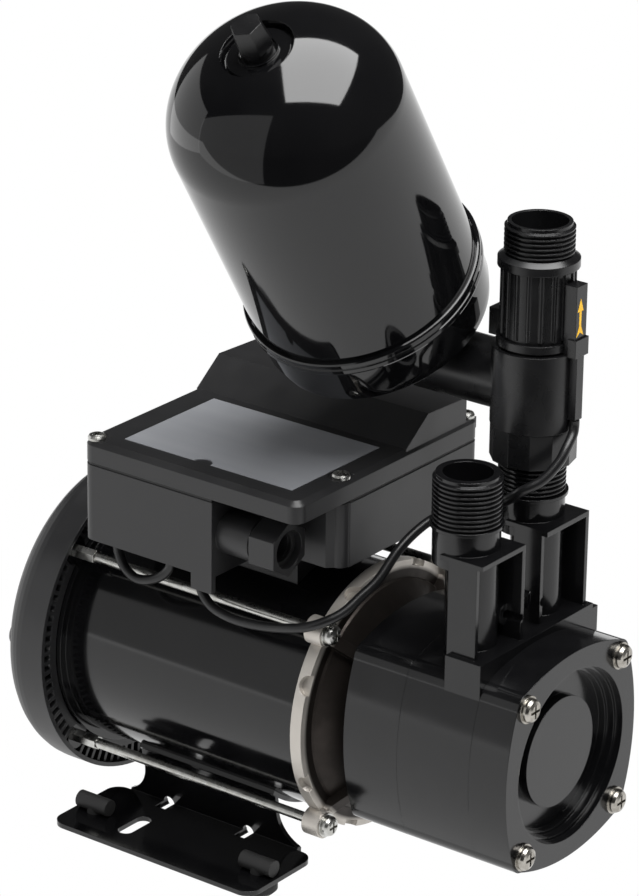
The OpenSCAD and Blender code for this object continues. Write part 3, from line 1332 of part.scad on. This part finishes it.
// Side view of the cradle: two leaning webs that rise from the bends and meet the shell
module cradle_section() {
    intersection() {
        difference() {
            circle(r = cradle_in_r + foot_t);
            circle(r = cradle_in_r);
        }
        polygon([[0, 0], [-web_top_y, -sqrt(pow(cradle_in_r, 2) - pow(web_top_y, 2))], [-2 * web_top_y, -2 * shell_r],
                 [2 * web_top_y, -2 * shell_r], [web_top_y, -sqrt(pow(cradle_in_r, 2) - pow(web_top_y, 2))]]);
    }
    for (s = [-1, 1]) scale([s, 1]) polygon([
        [foot_bend_y, -axis_h], [foot_bend_y + foot_t, -axis_h],
        [web_top_y, -sqrt(pow(cradle_in_r, 2) - pow(web_top_y, 2)) - foot_t / 4],
        [web_top_y - foot_t, -sqrt(pow(cradle_in_r, 2) - pow(web_top_y - foot_t, 2)) - foot_t / 4]]);
}

// What is taken from the end of both webs, so that they flare out towards the flanges
module web_end_cut(x, side) {
    translate([x, foot_half_w, foot_t + flare_share * web_flare_r]) rotate([90, 0, 0]) {
        cylinder(r = web_flare_r, h = 2 * foot_half_w);
        translate([side, 0, 0]) cube([(1 + flare_share) * web_flare_r, axis_h, 2 * foot_half_w]);
    }
}

module foot_cradle() color(black) difference() {
    union() {
        for (side = [-1, 1]) linear_extrude(foot_t) flange_plan(side);
        difference() {
            translate([web_x0 - web_flare, 0, axis_h]) rotate([90, 0, 90]) linear_extrude(web_x1 - web_x0 + 2 * web_flare) cradle_section();
            web_end_cut(web_x0 - flare_share * web_flare_r, -web_flare_r);
            web_end_cut(web_x1 + flare_share * web_flare_r, -flare_share * web_flare_r);
        }
    }
    for (x = web_hole_x) translate([x, -foot_half_w / 2, foot_t]) rotate([-90, 0, 0]) cylinder(r = web_hole_r2, h = foot_half_w);
}

module rubber_feet() color(rubber_black) for (sx = [-1, 1], sy = [-1, 1])
    translate([foot_mid_x + sx * pad_half, sy * pad_y, 0]) {
        rotate_extrude() polygon([[0, -foot_drop], [pad_r * 0.8, -foot_drop], [pad_r, -foot_drop * 0.75], [pad_r, 0],
                                  [pad_waist_r, 0], [pad_waist_r, bar_z], [0, bar_z]]);
        translate([-bar_len / 2, 0, bar_z]) rotate([0, 90, 0]) cylinder(r = bar_r, h = bar_len);
    }

motor_shell();
stator_core();
windings();
rotor_core();
shaft();
rear_bearing();
front_bearing();
rear_bracket();
front_bracket();
fan();
fan_cowl();
tie_screws();
tie_screw_washers();
tie_screw_nuts();
pump_adapter();
adapter_screws();
seal_seat();
seal_head();
impeller();
pump_body();
body_seal();
cover_seal();
pump_cover();
cover_screws();
coupling_nut();
coupling_washer();
tee_body();
flow_float();
valve_body();
valve_seal();
check_valve();
check_spring();
valve_clip();
reed_housing();
reed_switch();
switch_lead();
vessel_elbow();
vessel_base();
vessel_dome();
vessel_band();
vessel_diaphragm();
dome_washer();
air_stem();
air_pin();
air_cap();
box_base();
box_lid();
lid_gasket();
lid_screws();
label_plate();
gland_seal();
gland_nut();
capacitor();
circuit_board();
terminal_block();
motor_lead();
foot_cradle();
rubber_feet();
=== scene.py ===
# Shower pump: camera, leads, small added pieces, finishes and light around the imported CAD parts.
# Everything is in metres in the pump's own frame; sizes in the dictionaries are in millimetres.
import math
import bpy
from mathutils import Matrix, Vector


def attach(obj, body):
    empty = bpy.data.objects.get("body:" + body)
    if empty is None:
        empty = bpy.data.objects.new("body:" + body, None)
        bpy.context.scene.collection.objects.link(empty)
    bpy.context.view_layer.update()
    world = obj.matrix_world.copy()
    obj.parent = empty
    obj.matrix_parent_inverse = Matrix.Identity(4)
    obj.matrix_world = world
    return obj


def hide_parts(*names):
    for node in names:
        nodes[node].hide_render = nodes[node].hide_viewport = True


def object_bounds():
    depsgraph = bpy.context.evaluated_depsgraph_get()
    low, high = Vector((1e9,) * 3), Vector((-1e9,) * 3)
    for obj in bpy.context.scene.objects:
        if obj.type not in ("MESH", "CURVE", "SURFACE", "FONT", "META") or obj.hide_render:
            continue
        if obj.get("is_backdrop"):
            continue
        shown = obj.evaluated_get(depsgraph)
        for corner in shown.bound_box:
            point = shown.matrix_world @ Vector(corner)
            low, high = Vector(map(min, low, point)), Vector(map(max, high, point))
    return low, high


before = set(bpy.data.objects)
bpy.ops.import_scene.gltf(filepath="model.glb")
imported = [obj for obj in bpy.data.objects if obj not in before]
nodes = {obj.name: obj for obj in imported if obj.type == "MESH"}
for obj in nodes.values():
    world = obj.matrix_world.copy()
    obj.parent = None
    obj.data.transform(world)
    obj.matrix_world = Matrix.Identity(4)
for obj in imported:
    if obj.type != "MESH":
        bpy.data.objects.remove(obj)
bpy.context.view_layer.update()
mm = 0.001
motorAxisHigh = 64.0
print("frame loaded:", len(nodes), "CAD nodes")

# Camera, fitted to the photograph: it looks from the pump's front and inlet side, slightly from above
cameraView = {
    "target": (8.791, 52.214, 130.925),
    "distance": 1730.371,
    "azimuth": 37.101,
    "elevation": 22.115,
    "roll": 0.781,
    "focalPixels": 4341.5,
    "framePixels": 896,
    "sensor": 36.0,
}


def addObject(name, data):
    made = bpy.data.objects.new(name, data)
    bpy.context.scene.collection.objects.link(made)
    return made


def placeCamera(view):
    azimuth, elevation, roll = (math.radians(view[k]) for k in ("azimuth", "elevation", "roll"))
    level = Vector((math.cos(azimuth), math.sin(azimuth), 0))
    flat, rise = math.cos(elevation), math.sin(elevation)
    back = Vector((math.sin(azimuth) * flat, -math.cos(azimuth) * flat, rise))
    upright = back.cross(level)
    right = level * math.cos(roll) + upright * math.sin(roll)
    up = upright * math.cos(roll) - level * math.sin(roll)
    lens = bpy.data.cameras.new("photoCamera")
    lens.sensor_fit = "VERTICAL"
    lens.sensor_height = view["sensor"]
    lens.lens = view["focalPixels"] / view["framePixels"] * view["sensor"]
    lens.clip_end = 20
    camera = addObject("photoCamera", lens)
    place = Vector(view["target"]) * mm + back * view["distance"] * mm
    camera.matrix_world = Matrix((
        (right.x, up.x, back.x, place.x),
        (right.y, up.y, back.y, place.y),
        (right.z, up.z, back.z, place.z),
        (0, 0, 0, 1)))
    bpy.context.scene.camera = camera


placeCamera(cameraView)
print("camera placed")


def toLinear(hexColour):
    # sRGB hex to the linear values that Blender works in
    channels = [int(hexColour[i:i + 2], 16) / 255 for i in (1, 3, 5)]
    return tuple(c / 12.92 if c <= 0.04045 else ((c + 0.055) / 1.055) ** 2.4 for c in channels) + (1.0,)


def addNode(tree, kind, settings, links=None):
    # One node with its settings; a setting is an input by name or a property of the node
    made = tree.nodes.new(kind)
    for key, value in settings.items():
        if isinstance(key, str) and hasattr(made, key):
            setattr(made, key, value)
        else:
            made.inputs[key].default_value = value
    for key, source in (links or {}).items():
        tree.links.new(source, made.inputs[key])
    return made


finishes = {
    # Glossy polyester powder coat on deep-drawn steel: near black and wet-looking, with hard reflections
    "powderCoatedSteel": {"colour": "#050506", "roughness": 0.06, "grainMm": 5.0, "grainDepthMm": 0.003,
                          "wearMm": 40.0, "wear": 0.015, "edgeMm": 0.3},
    # Stoved enamel on a rolled steel shell: deep black, its reflections a little softened
    "stovedEnamelSteel": {"colour": "#070708", "roughness": 0.11, "grainMm": 9.0, "grainDepthMm": 0.006,
                          "wearMm": 30.0, "wear": 0.03, "edgeMm": 0.4},
    # Glass-filled nylon from a polished tool: black with a soft gloss and blurred reflections
    "mouldedFilledNylon": {"colour": "#0a0a0b", "roughness": 0.15, "grainMm": 1.4, "grainDepthMm": 0.006,
                           "wearMm": 18.0, "wear": 0.03, "edgeMm": 0.4},
    # Acetal fittings, moulded and left as they come: a shade duller than the pump head
    "mouldedAcetalBlack": {"colour": "#0c0c0d", "roughness": 0.28, "grainMm": 0.9, "grainDepthMm": 0.01,
                           "wearMm": 14.0, "wear": 0.06, "edgeMm": 0.4},
    # ABS moulded in a spark-eroded tool: even dull black, with a soft sheen on its edges
    "sparkGrainABS": {"colour": "#1b1b1c", "roughness": 0.4, "grainMm": 0.7, "grainDepthMm": 0.02,
                      "wearMm": 25.0, "wear": 0.05, "edgeMm": 0.5},
    # Die-cast aluminium, its rim turned bright and smooth; inside the rim it is coloured a warm dark as painted shade
    # of its recessed pockets, with a random second tone
    "dieCastAluminiumPaintedShade": {"colour": "#312c29", "second": "#272320", "mottleMm": 9.0, "metallic": 0.8,
                            "roughness": 0.45, "grainMm": 1.1, "grainDepthMm": 0.03, "wearMm": 9.0,
                            "wear": 0.08, "edgeMm": 0.4,
                            "rimMm": (49.6, 51.4), "rimColour": "#c4bfb8"},
    # Bright zinc plating on small steel parts: pale metal with a soft blur
    "brightZincSteel": {"colour": "#c9c9c6", "second": "#b5b4af", "mottleMm": 3.0, "metallic": 1.0, "roughness": 0.28,
                        "grainMm": 0.6, "grainDepthMm": 0.002, "wearMm": 4.0, "wear": 0.08, "edgeMm": 0.3},
    # Stainless steel, cold headed: a little darker and warmer than zinc
    "coldHeadedStainless": {"colour": "#b9b5ae", "second": "#98948c", "mottleMm": 2.5, "metallic": 1.0,
                            "roughness": 0.25, "grainMm": 0.5, "grainDepthMm": 0.008, "wearMm": 4.0,
                            "wear": 0.08, "edgeMm": 0.3},
    # Electrical steel laminations, stacked and varnished
    "varnishedLaminations": {"colour": "#6a6a6c", "second": "#4c4c50", "mottleMm": 2.0, "metallic": 1.0,
                             "roughness": 0.42, "grainMm": 0.5, "grainDepthMm": 0.05, "wearMm": 6.0,
                             "wear": 0.1, "edgeMm": 0.3},
    # Enamelled copper wire, wound and bound
    "enamelledCopper": {"colour": "#a8622f", "second": "#7c421c", "mottleMm": 1.4, "metallic": 0.9, "roughness": 0.3,
                        "grainMm": 0.7, "grainDepthMm": 0.2, "wearMm": 5.0, "wear": 0.1, "edgeMm": 0.3},
    # Free-cutting brass, turned
    "turnedBrass": {"colour": "#b79a57", "second": "#9b7f40", "mottleMm": 2.0, "metallic": 1.0, "roughness": 0.25,
                    "grainMm": 0.4, "grainDepthMm": 0.01, "wearMm": 4.0, "wear": 0.08, "edgeMm": 0.3},
    # EPDM rubber, press moulded: dead matt and slightly grey
    "mouldedRubber": {"colour": "#191919", "roughness": 0.62, "grainMm": 0.8, "grainDepthMm": 0.03,
                      "wearMm": 8.0, "wear": 0.06, "edgeMm": 0.6},
    # PVC cable sheath, extruded: smooth, with a soft long highlight
    "extrudedPVCSheath": {"colour": "#0f0f10", "roughness": 0.33, "grainMm": 1.6, "grainDepthMm": 0.01,
                          "wearMm": 12.0, "wear": 0.05, "edgeMm": 0.2},
    # Natural acetal, moulded: milky white with a low sheen
    "naturalAcetal": {"colour": "#dcdbd4", "second": "#cfcdc4", "mottleMm": 8.0, "roughness": 0.38, "grainMm": 0.9,
                      "grainDepthMm": 0.01, "wearMm": 12.0, "wear": 0.05, "edgeMm": 0.4},
    # Alumina ceramic, lapped
    "lappedAlumina": {"colour": "#e6e2d8", "second": "#dcd7ca", "mottleMm": 5.0, "roughness": 0.2, "grainMm": 0.5,
                      "grainDepthMm": 0.004, "wearMm": 8.0, "wear": 0.04, "edgeMm": 0.3},
    # Glass-epoxy board under green lacquer
    "lacqueredGlassEpoxy": {"colour": "#1f5a33", "second": "#17482a", "mottleMm": 1.2, "roughness": 0.3, "grainMm": 0.6,
                            "grainDepthMm": 0.02, "wearMm": 6.0, "wear": 0.05, "edgeMm": 0.2},
    # Metallised polyester foil with a brushed print: silver grey, soft streaks along its length
    "brushedSilverFoil": {"colour": "#a5a7ab", "second": "#a0a2a7", "mottleMm": 14.0, "metallic": 0.5,
                          "roughness": 0.45, "streakMm": (6.0, 0.35, 6.0), "grainMm": 0.5, "grainDepthMm": 0.001,
                          "wearMm": 20.0, "wear": 0.03, "edgeMm": 0.2},
    # Screen-printed yellow ink on the black moulding
    "screenPrintedYellow": {"colour": "#e8b400", "second": "#dca800", "mottleMm": 3.0, "roughness": 0.42,
                            "grainMm": 0.5, "grainDepthMm": 0.01, "wearMm": 3.0, "wear": 0.06, "edgeMm": 0.1},
}


def makeFinish(name, look):
    made = bpy.data.materials.new(name)
    made.use_nodes = True
    tree = made.node_tree
    tree.nodes.clear()
    place = addNode(tree, "ShaderNodeTexCoord", {}).outputs["Object"]
    if "streakMm" in look:   # stretched along the piece, so the noise turns into streaks
        squeeze = tuple(1 / s for s in look["streakMm"])
        place = addNode(tree, "ShaderNodeVectorMath", {"operation": "MULTIPLY", 1: squeeze}, {0: place}).outputs[0]
        place = addNode(tree, "ShaderNodeVectorMath", {"operation": "SCALE", "Scale": look["grainMm"]},
                        {0: place}).outputs[0]
    grain = addNode(tree, "ShaderNodeTexNoise", {"Scale": 1 / (look["grainMm"] * mm), "Detail": 3.0}, {"Vector": place})
    wear = addNode(tree, "ShaderNodeTexNoise", {"Scale": 1 / (look["wearMm"] * mm), "Detail": 4.0},
                   {"Vector": addNode(tree, "ShaderNodeTexCoord", {}).outputs["Object"]})
    rough = addNode(tree, "ShaderNodeMapRange", {
        "From Min": 0.3, "From Max": 0.7,
        "To Min": max(look["roughness"] - look["wear"], 0.02), "To Max": look["roughness"] + look["wear"]},
        {"Value": wear.outputs["Fac"]})
    edge = addNode(tree, "ShaderNodeBevel", {"samples": 4, "Radius": look["edgeMm"] * mm})
    bump = addNode(tree, "ShaderNodeBump", {"Strength": 1.0, "Distance": look["grainDepthMm"] * mm},
                   {"Height": grain.outputs["Fac"], "Normal": edge.outputs["Normal"]})
    shader = addNode(tree, "ShaderNodeBsdfPrincipled", {
        "Base Color": toLinear(look["colour"]), "Metallic": look.get("metallic", 0.0)},
        {"Roughness": rough.outputs["Result"], "Normal": bump.outputs["Normal"]})
    mottleMm = look.get("mottleMm", look["wearMm"])
    mottle = addNode(tree, "ShaderNodeTexNoise", {"Scale": 1 / (mottleMm * mm), "Detail": 5.0}, {"Vector": place})
    colours = addNode(tree, "ShaderNodeMix", {"data_type": "RGBA"},
                      {0: addNode(tree, "ShaderNodeMapRange", {"From Min": 0.35, "From Max": 0.65},
                                  {"Value": mottle.outputs["Fac"]}).outputs["Result"]})
    colours.inputs[6].default_value = toLinear(look["colour"])
    colours.inputs[7].default_value = toLinear(look.get("second", dustier(look["colour"])))
    colour = colours.outputs[2]
    # Inside this distance from the motor axis the casting's dark colour is painted shade; from it outwards the turned
    # rim shows its own bright metal
    if "rimMm" in look:   # the turned rim starts at this distance from the motor axis
        toAxis = (0, 0, -motorAxisHigh * mm)
        away = addNode(tree, "ShaderNodeVectorMath", {"operation": "MULTIPLY_ADD", 1: (0, 1, 1), 2: toAxis},
                       {0: addNode(tree, "ShaderNodeNewGeometry", {}).outputs["Position"]})
        away = addNode(tree, "ShaderNodeVectorMath", {"operation": "LENGTH"}, {0: away.outputs[0]})
        start, full = look["rimMm"]
        rim = addNode(tree, "ShaderNodeMapRange", {"From Min": start * mm, "From Max": full * mm},
                      {"Value": away.outputs["Value"]})
        turned = addNode(tree, "ShaderNodeMix", {"data_type": "RGBA", 7: toLinear(look["rimColour"])},
                         {0: rim.outputs["Result"], 6: colour})
        colour = turned.outputs[2]
    tree.links.new(colour, shader.inputs["Base Color"])
    addNode(tree, "ShaderNodeOutputMaterial", {}, {"Surface": shader.outputs["BSDF"]})
    return made


def dustier(hexColour):
    # A dark plastic never shows one flat black: its second tone is a shade lighter
    return "#" + "".join(f"{min(int(hexColour[i:i + 2], 16) + 5, 255):02x}" for i in (1, 3, 5))


materials = {name: makeFinish(name, look) for name, look in finishes.items()}

nodeFinish = {
    "powderCoatedSteel": ["vessel_base", "vessel_dome", "vessel_band", "dome_washer"],
    "stovedEnamelSteel": ["motor_shell", "rear_bracket", "foot_cradle"],
    "mouldedFilledNylon": ["pump_adapter", "pump_body", "pump_cover"],
    "mouldedAcetalBlack": ["coupling_nut", "tee_body", "valve_body", "valve_clip", "reed_housing", "vessel_elbow",
                           "air_cap"],
    "sparkGrainABS": ["fan", "fan_cowl", "box_base", "box_lid", "gland_nut"],
    "dieCastAluminiumPaintedShade": ["front_bracket"],
    "brightZincSteel": ["tie_screws", "tie_screw_washers", "tie_screw_nuts", "adapter_screws", "lid_screws"],
    "coldHeadedStainless": ["cover_screws", "shaft", "rear_bearing", "front_bearing", "seal_head", "check_spring"],
    "varnishedLaminations": ["stator_core", "rotor_core"],
    "enamelledCopper": ["windings"],
    "turnedBrass": ["air_stem", "air_pin"],
    "mouldedRubber": ["body_seal", "cover_seal", "coupling_washer", "valve_seal", "vessel_diaphragm", "lid_gasket",
                      "gland_seal", "rubber_feet"],
    "extrudedPVCSheath": ["switch_lead", "motor_lead"],
    "naturalAcetal": ["impeller", "flow_float", "check_valve", "reed_switch", "capacitor", "terminal_block"],
    "lappedAlumina": ["seal_seat"],
    "lacqueredGlassEpoxy": ["circuit_board"],
    "brushedSilverFoil": ["label_plate"],
}

for finish, names in nodeFinish.items():
    for name in names:
        nodes[name].data.materials.clear()
        nodes[name].data.materials.append(materials[finish])
print("finishes made:", len(materials))


leads = {
    "switchLead": {
        "replaces": "switch_lead", "diameter": 3.8, "finish": "extrudedPVCSheath", "slot": "lead_sheath",
        "route": [(151.2, 20, 188.8), (151.2, 20, 186.5), (151.6, 18.5, 183.5), (152, 14, 179.5), (151.5, 10, 175),
                  (148.5, 4, 169),
                  (142.5, -0.5, 164.5), (135, 1, 158.5), (124, 1, 152), (112, 0.5, 147), (105, -2, 144.5),
                  (101, -9, 140), (98.5, -17, 134), (96.5, -26, 125), (93.5, -33, 119.5), (90.5, -39.5, 114.5),
                  (85.5, -45, 111), (77, -49, 107.5), (62.5, -49.5, 104), (48, -49.5, 102.5), (36.5, -48.5, 103.5),
                  (30, -47.5, 107), (27, -47, 112.5), (26, -47, 117.5), (26, -47, 121)],
    },
    "motorLead": {
        "replaces": "motor_lead", "diameter": 3.8, "finish": "extrudedPVCSheath", "slot": "lead_sheath",
        "route": [(-13.5, -47, 121), (-13.5, -47, 117.5), (-12.5, -47, 113), (-9, -48, 108.5), (-3, -49, 106),
                  (3, -48.5, 106.5), (8.5, -47.5, 109), (12, -46.5, 113), (13, -46.5, 117.5), (13, -46.5, 121)],
    },
}


def smoothLine(points, steps=8):
    # The same smooth curve through the points as the CAD tube follows
    line = []
    last = len(points) - 1
    for i in range(last):
        a, b, c, d = (Vector(points[min(max(k, 0), last)]) for k in (i - 1, i, i + 1, i + 2))
        for k in range(steps):
            t = k / steps
            bend, twist = 2 * a - 5 * b + 4 * c - d, 3 * b - a - 3 * c + d
            line.append(0.5 * (2 * b + (c - a) * t + bend * t * t + twist * t ** 3) * mm)
    return line + [Vector(points[-1]) * mm]


for name, lead in leads.items():
    line = smoothLine(lead["route"])
    curve = bpy.data.curves.new(name, "CURVE")
    curve.dimensions = "3D"
    curve.bevel_depth = lead["diameter"] / 2 * mm
    curve.bevel_resolution = 5
    curve.use_fill_caps = True
    spline = curve.splines.new("POLY")
    spline.points.add(len(line) - 1)
    for point, place in zip(spline.points, line):
        point.co = (*place, 1)
    piece = addObject(name, curve)
    curve.materials.append(materials[lead["finish"]])
    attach(piece, "housing")
    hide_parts(lead["replaces"])
print("leads made:", len(leads))


arrow = {"x": 152.0, "y": 20.1, "low": 222.0, "high": 236.8, "stem": 1.3, "head": 3.7, "headLen": 5.0, "tail": 4.6,
         "tailLen": 2.4, "notch": 1.6, "proud": 0.06, "sunk": 0.03,
         "finish": "screenPrintedYellow", "slot": "yellow_ink"}


def flatShape(name, outline, x, proud, sunk):
    # A thin solid with this outline of (y, z) points, facing the pump's front
    count = len(outline)
    vertices = [((x + out) * mm, y * mm, z * mm) for out in (-sunk, proud) for y, z in outline]
    faces = [list(range(count - 1, -1, -1)), list(range(count, 2 * count))]
    faces += [[i, (i + 1) % count, count + (i + 1) % count, count + i] for i in range(count)]
    mesh = bpy.data.meshes.new(name)
    mesh.from_pydata(vertices, [], faces)
    mesh.update()
    return addObject(name, mesh)


half, wide, tail = arrow["stem"] / 2, arrow["head"] / 2, arrow["tail"] / 2
neck, low, split = arrow["high"] - arrow["headLen"], arrow["low"], arrow["low"] + arrow["tailLen"]
side = [(tail, low), (half, split + arrow["notch"]), (half, neck), (wide, neck)]
outline = [(0, low + arrow["notch"])] + side + [(0, arrow["high"])] + [(-dy, z) for dy, z in side[::-1]]
flowArrow = flatShape("flowArrow", [(arrow["y"] + dy, z) for dy, z in outline],
                      arrow["x"], arrow["proud"], arrow["sunk"])
flowArrow.data.materials.append(materials[arrow["finish"]])
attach(flowArrow, "housing")
print("arrow made")


# The vessel's steel shells and band, turned far finer than the CAD mesh, whose facets would show in the gloss
vessel = {"at": (67.6, 20.8, 198.5), "tilt": 32.2, "radius": 44.7, "wall": 1.2, "straight": 127.7, "domeHigh": 36.0,
          "cut": 0.95, "cutInside": 0.93, "recess": 3.4, "recessRadius": 13.2, "stem": 4.05,
          "seam": 39.9, "membrane": 1.4, "base": 17.4, "baseHole": 8.0,
          # The base's rounded corner: in from the radius, height, and how much of the wall moves it in and up
          "baseCorner": [(6.7, 17.4, 0.0, 1.0), (2.9, 18.2, 0.4, 0.9), (1.1, 20.1, 1.0, 0.4), (0.0, 24.75, 1.0, 0.0)],
          # Half of the band's outside: in from its radius and down from the seam, edge first and then the groove
          "bandRadius": 46.5, "bandHalf": 3.1, "bandPlay": 0.05,
          "bandSide": [(0.9, 3.1), (0.3, 2.9), (0.0, 2.2), (0.0, 0.5), (0.4, 0.2)],
          "turns": 192, "domeSteps": 48, "sharpDegrees": 16, "finish": "powderCoatedSteel", "slot": "vessel_paint"}


def domeLine(v, inset):
    top = v["straight"] + v["domeHigh"] * v["cut"] - v["recess"]
    full = math.asin(v["cutInside"] if inset else v["cut"])
    bow = [full * k / v["domeSteps"] for k in range(v["domeSteps"] + 1)]
    r, rise = v["radius"] - inset, v["domeHigh"] - inset
    return ([(r, v["seam"] + v["membrane"])]
            + [(r * math.cos(a), v["straight"] + rise * math.sin(a)) for a in bow]
            + [(v["recessRadius"] + inset, top - inset), (v["stem"], top - inset)])


def baseLine(v, inset):
    corner = [(v["radius"] - back - inset * inwards, high + inset * upwards)
              for back, high, inwards, upwards in v["baseCorner"]]
    return [(v["baseHole"], v["base"] + inset)] + corner + [(v["radius"] - inset, v["seam"])]


def bandLine(v):
    inner, outer, seam, half = v["radius"] + v["bandPlay"], v["bandRadius"], v["seam"], v["bandHalf"]
    lower = [(outer - back, seam - down) for back, down in v["bandSide"]]
    upper = [(outer - back, seam + down) for back, down in v["bandSide"][::-1]]
    return [(inner, seam - half)] + lower + upper + [(inner, seam + half)]


def turnedPiece(name, line, v):
    # A closed profile of (radius, height) points turned about the vessel's leaning axis
    rings, turns = len(line), v["turns"]
    tilt = Matrix.Translation(Vector(v["at"]) * mm) @ Matrix.Rotation(math.radians(v["tilt"]), 4, "X")
    angles = [2 * math.pi * k / turns for k in range(turns)]
    vertices = [tilt @ (Vector((r * math.cos(a), r * math.sin(a), h)) * mm) for r, h in line for a in angles]
    faces = []
    for i in range(rings):
        here, above = i * turns, (i + 1) % rings * turns
        faces += [[here + k, here + (k + 1) % turns, above + (k + 1) % turns, above + k] for k in range(turns)]
    mesh = bpy.data.meshes.new(name)
    mesh.from_pydata(vertices, [], faces)
    for face in mesh.polygons:
        face.use_smooth = True
    corners = set()
    for i in range(rings):
        before, here, after = (Vector(line[(i + d) % rings]) for d in (-1, 0, 1))
        if math.degrees((here - before).angle(after - here)) > v["sharpDegrees"]:
            corners.add(i)
    for edge in mesh.edges:
        a, b = edge.vertices
        if a // turns == b // turns and a // turns in corners:
            edge.use_edge_sharp = True
    mesh.update()
    return addObject(name, mesh)


for name, line, replaced in [
        ("domeShell", domeLine(vessel, 0) + domeLine(vessel, vessel["wall"])[::-1], "vessel_dome"),
        ("baseShell", baseLine(vessel, 0) + baseLine(vessel, vessel["wall"])[::-1], "vessel_base"),
        ("crimpedBand", bandLine(vessel), "vessel_band")]:
    piece = turnedPiece(name, line, vessel)
    piece.data.materials.append(materials[vessel["finish"]])
    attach(piece, "housing")
    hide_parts(replaced)
print("vessel turned")


# A white table whose front edge is near, in a dark room, under one large soft box, with two dim cards on the left
floorLook = {"size": 8.0, "drop": 6.0, "colour": "#f4f4f4", "edge": 0.42, "edgeBlur": 0.02,
             "edgeAway": (0.6, -0.8, 0.0), "shine": 1.08, "dark": 0.03}


def inGloss(tree, rays):
    # One for a ray that comes from a mirrored or clear surface
    return addNode(tree, "ShaderNodeMath", {"operation": "MAXIMUM"},
                   {0: rays.outputs["Is Glossy Ray"], 1: rays.outputs["Is Transmission Ray"]}).outputs[0]


def makeFloor(look):
    half = look["size"] / 2
    mesh = bpy.data.meshes.new("floor")
    z = -look["drop"] * mm
    mesh.from_pydata([(-half, -half, z), (half, -half, z), (half, half, z), (-half, half, z)], [], [(0, 1, 2, 3)])
    floor = addObject("floor", mesh)
    made = bpy.data.materials.new("whiteTable")
    made.use_nodes = True
    tree = made.node_tree
    tree.nodes.clear()
    rays = addNode(tree, "ShaderNodeLightPath", {})
    paper = addNode(tree, "ShaderNodeBsdfDiffuse", {"Color": toLinear(look["colour"])})
    # Seen in a gloss, the table is white up to its front edge; seen directly, it is the white background
    away = addNode(tree, "ShaderNodeVectorMath", {"operation": "DOT_PRODUCT", 1: look["edgeAway"]},
                   {0: addNode(tree, "ShaderNodeNewGeometry", {}).outputs["Position"]})
    table = addNode(tree, "ShaderNodeMapRange", {"From Min": look["edge"], "From Max": look["edge"] + look["edgeBlur"],
                                                 "To Min": look["shine"], "To Max": look["dark"]},
                    {"Value": away.outputs["Value"]})
    gloss = inGloss(tree, rays)
    bright = addNode(tree, "ShaderNodeMix", {2: 1.0}, {0: gloss, 3: table.outputs["Result"]})
    glow = addNode(tree, "ShaderNodeEmission", {"Color": (1, 1, 1, 1)}, {"Strength": bright.outputs[0]})
    seen = addNode(tree, "ShaderNodeMath", {"operation": "MAXIMUM"},
                   {0: rays.outputs["Is Camera Ray"], 1: gloss})
    mixed = addNode(tree, "ShaderNodeMixShader", {}, {0: seen.outputs[0], 1: paper.outputs[0], 2: glow.outputs[0]})
    addNode(tree, "ShaderNodeOutputMaterial", {}, {"Surface": mixed.outputs[0]})
    mesh.materials.append(made)
    floor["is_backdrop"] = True


roomLook = {"gloss": 0.05, "ambient": 0.35}


def makeWorld(look):
    world = bpy.data.worlds.new("studio")
    bpy.context.scene.world = world
    world.use_nodes = True
    tree = world.node_tree
    tree.nodes.clear()
    rays = addNode(tree, "ShaderNodeLightPath", {})
    gloss = inGloss(tree, rays)
    level = addNode(tree, "ShaderNodeMapRange", {"To Min": look["ambient"], "To Max": look["gloss"]},
                    {"Value": gloss})
    room = addNode(tree, "ShaderNodeBackground", {"Color": (1, 1, 1, 1)}, {"Strength": level.outputs["Result"]})
    white = addNode(tree, "ShaderNodeBackground", {"Color": (1, 1, 1, 1), "Strength": 1.0})
    mixed = addNode(tree, "ShaderNodeMixShader", {},
                    {0: rays.outputs["Is Camera Ray"], 1: room.outputs[0], 2: white.outputs[0]})
    addNode(tree, "ShaderNodeOutputWorld", {}, {"Surface": mixed.outputs[0]})


# Lamps: where each stands, what it points at, its size in metres, its turn about its own axis and its power
softBoxes = {
    "topBox": {"place": (0.37, -0.05, 1.25), "aim": (0.2, -0.03, 0.2),
               "size": (1.15, 1.0), "spin": 45, "watts": 31},
    "frontCard": {"place": (-0.41, -0.637, 0.3), "aim": (-0.726, 0.312, 0.3),
                  "size": (1.18, 0.6), "spin": 0, "watts": 1.2},
    "leftCard": {"place": (-0.97, -0.31, 0.36), "aim": (0.03, -0.26, 0.36),
                 "size": (1.03, 0.72), "spin": 0, "watts": 2.0},
}


def makeSoftBoxes(boxes):
    for name, box in boxes.items():
        lamp = bpy.data.lights.new(name, "AREA")
        lamp.shape = "RECTANGLE"
        lamp.size, lamp.size_y = box["size"]
        lamp.energy = box["watts"]
        holder = addObject(name, lamp)
        holder.location = box["place"]
        way = (Vector(box["aim"]) - Vector(box["place"])).to_track_quat("-Z", "Y").to_matrix()
        holder.rotation_euler = (way @ Matrix.Rotation(math.radians(box["spin"]), 3, "Z")).to_euler()


makeFloor(floorLook)
makeWorld(roomLook)
makeSoftBoxes(softBoxes)
bpy.context.scene.view_settings.view_transform = "Standard"
print("stage and light made")

low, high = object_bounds()
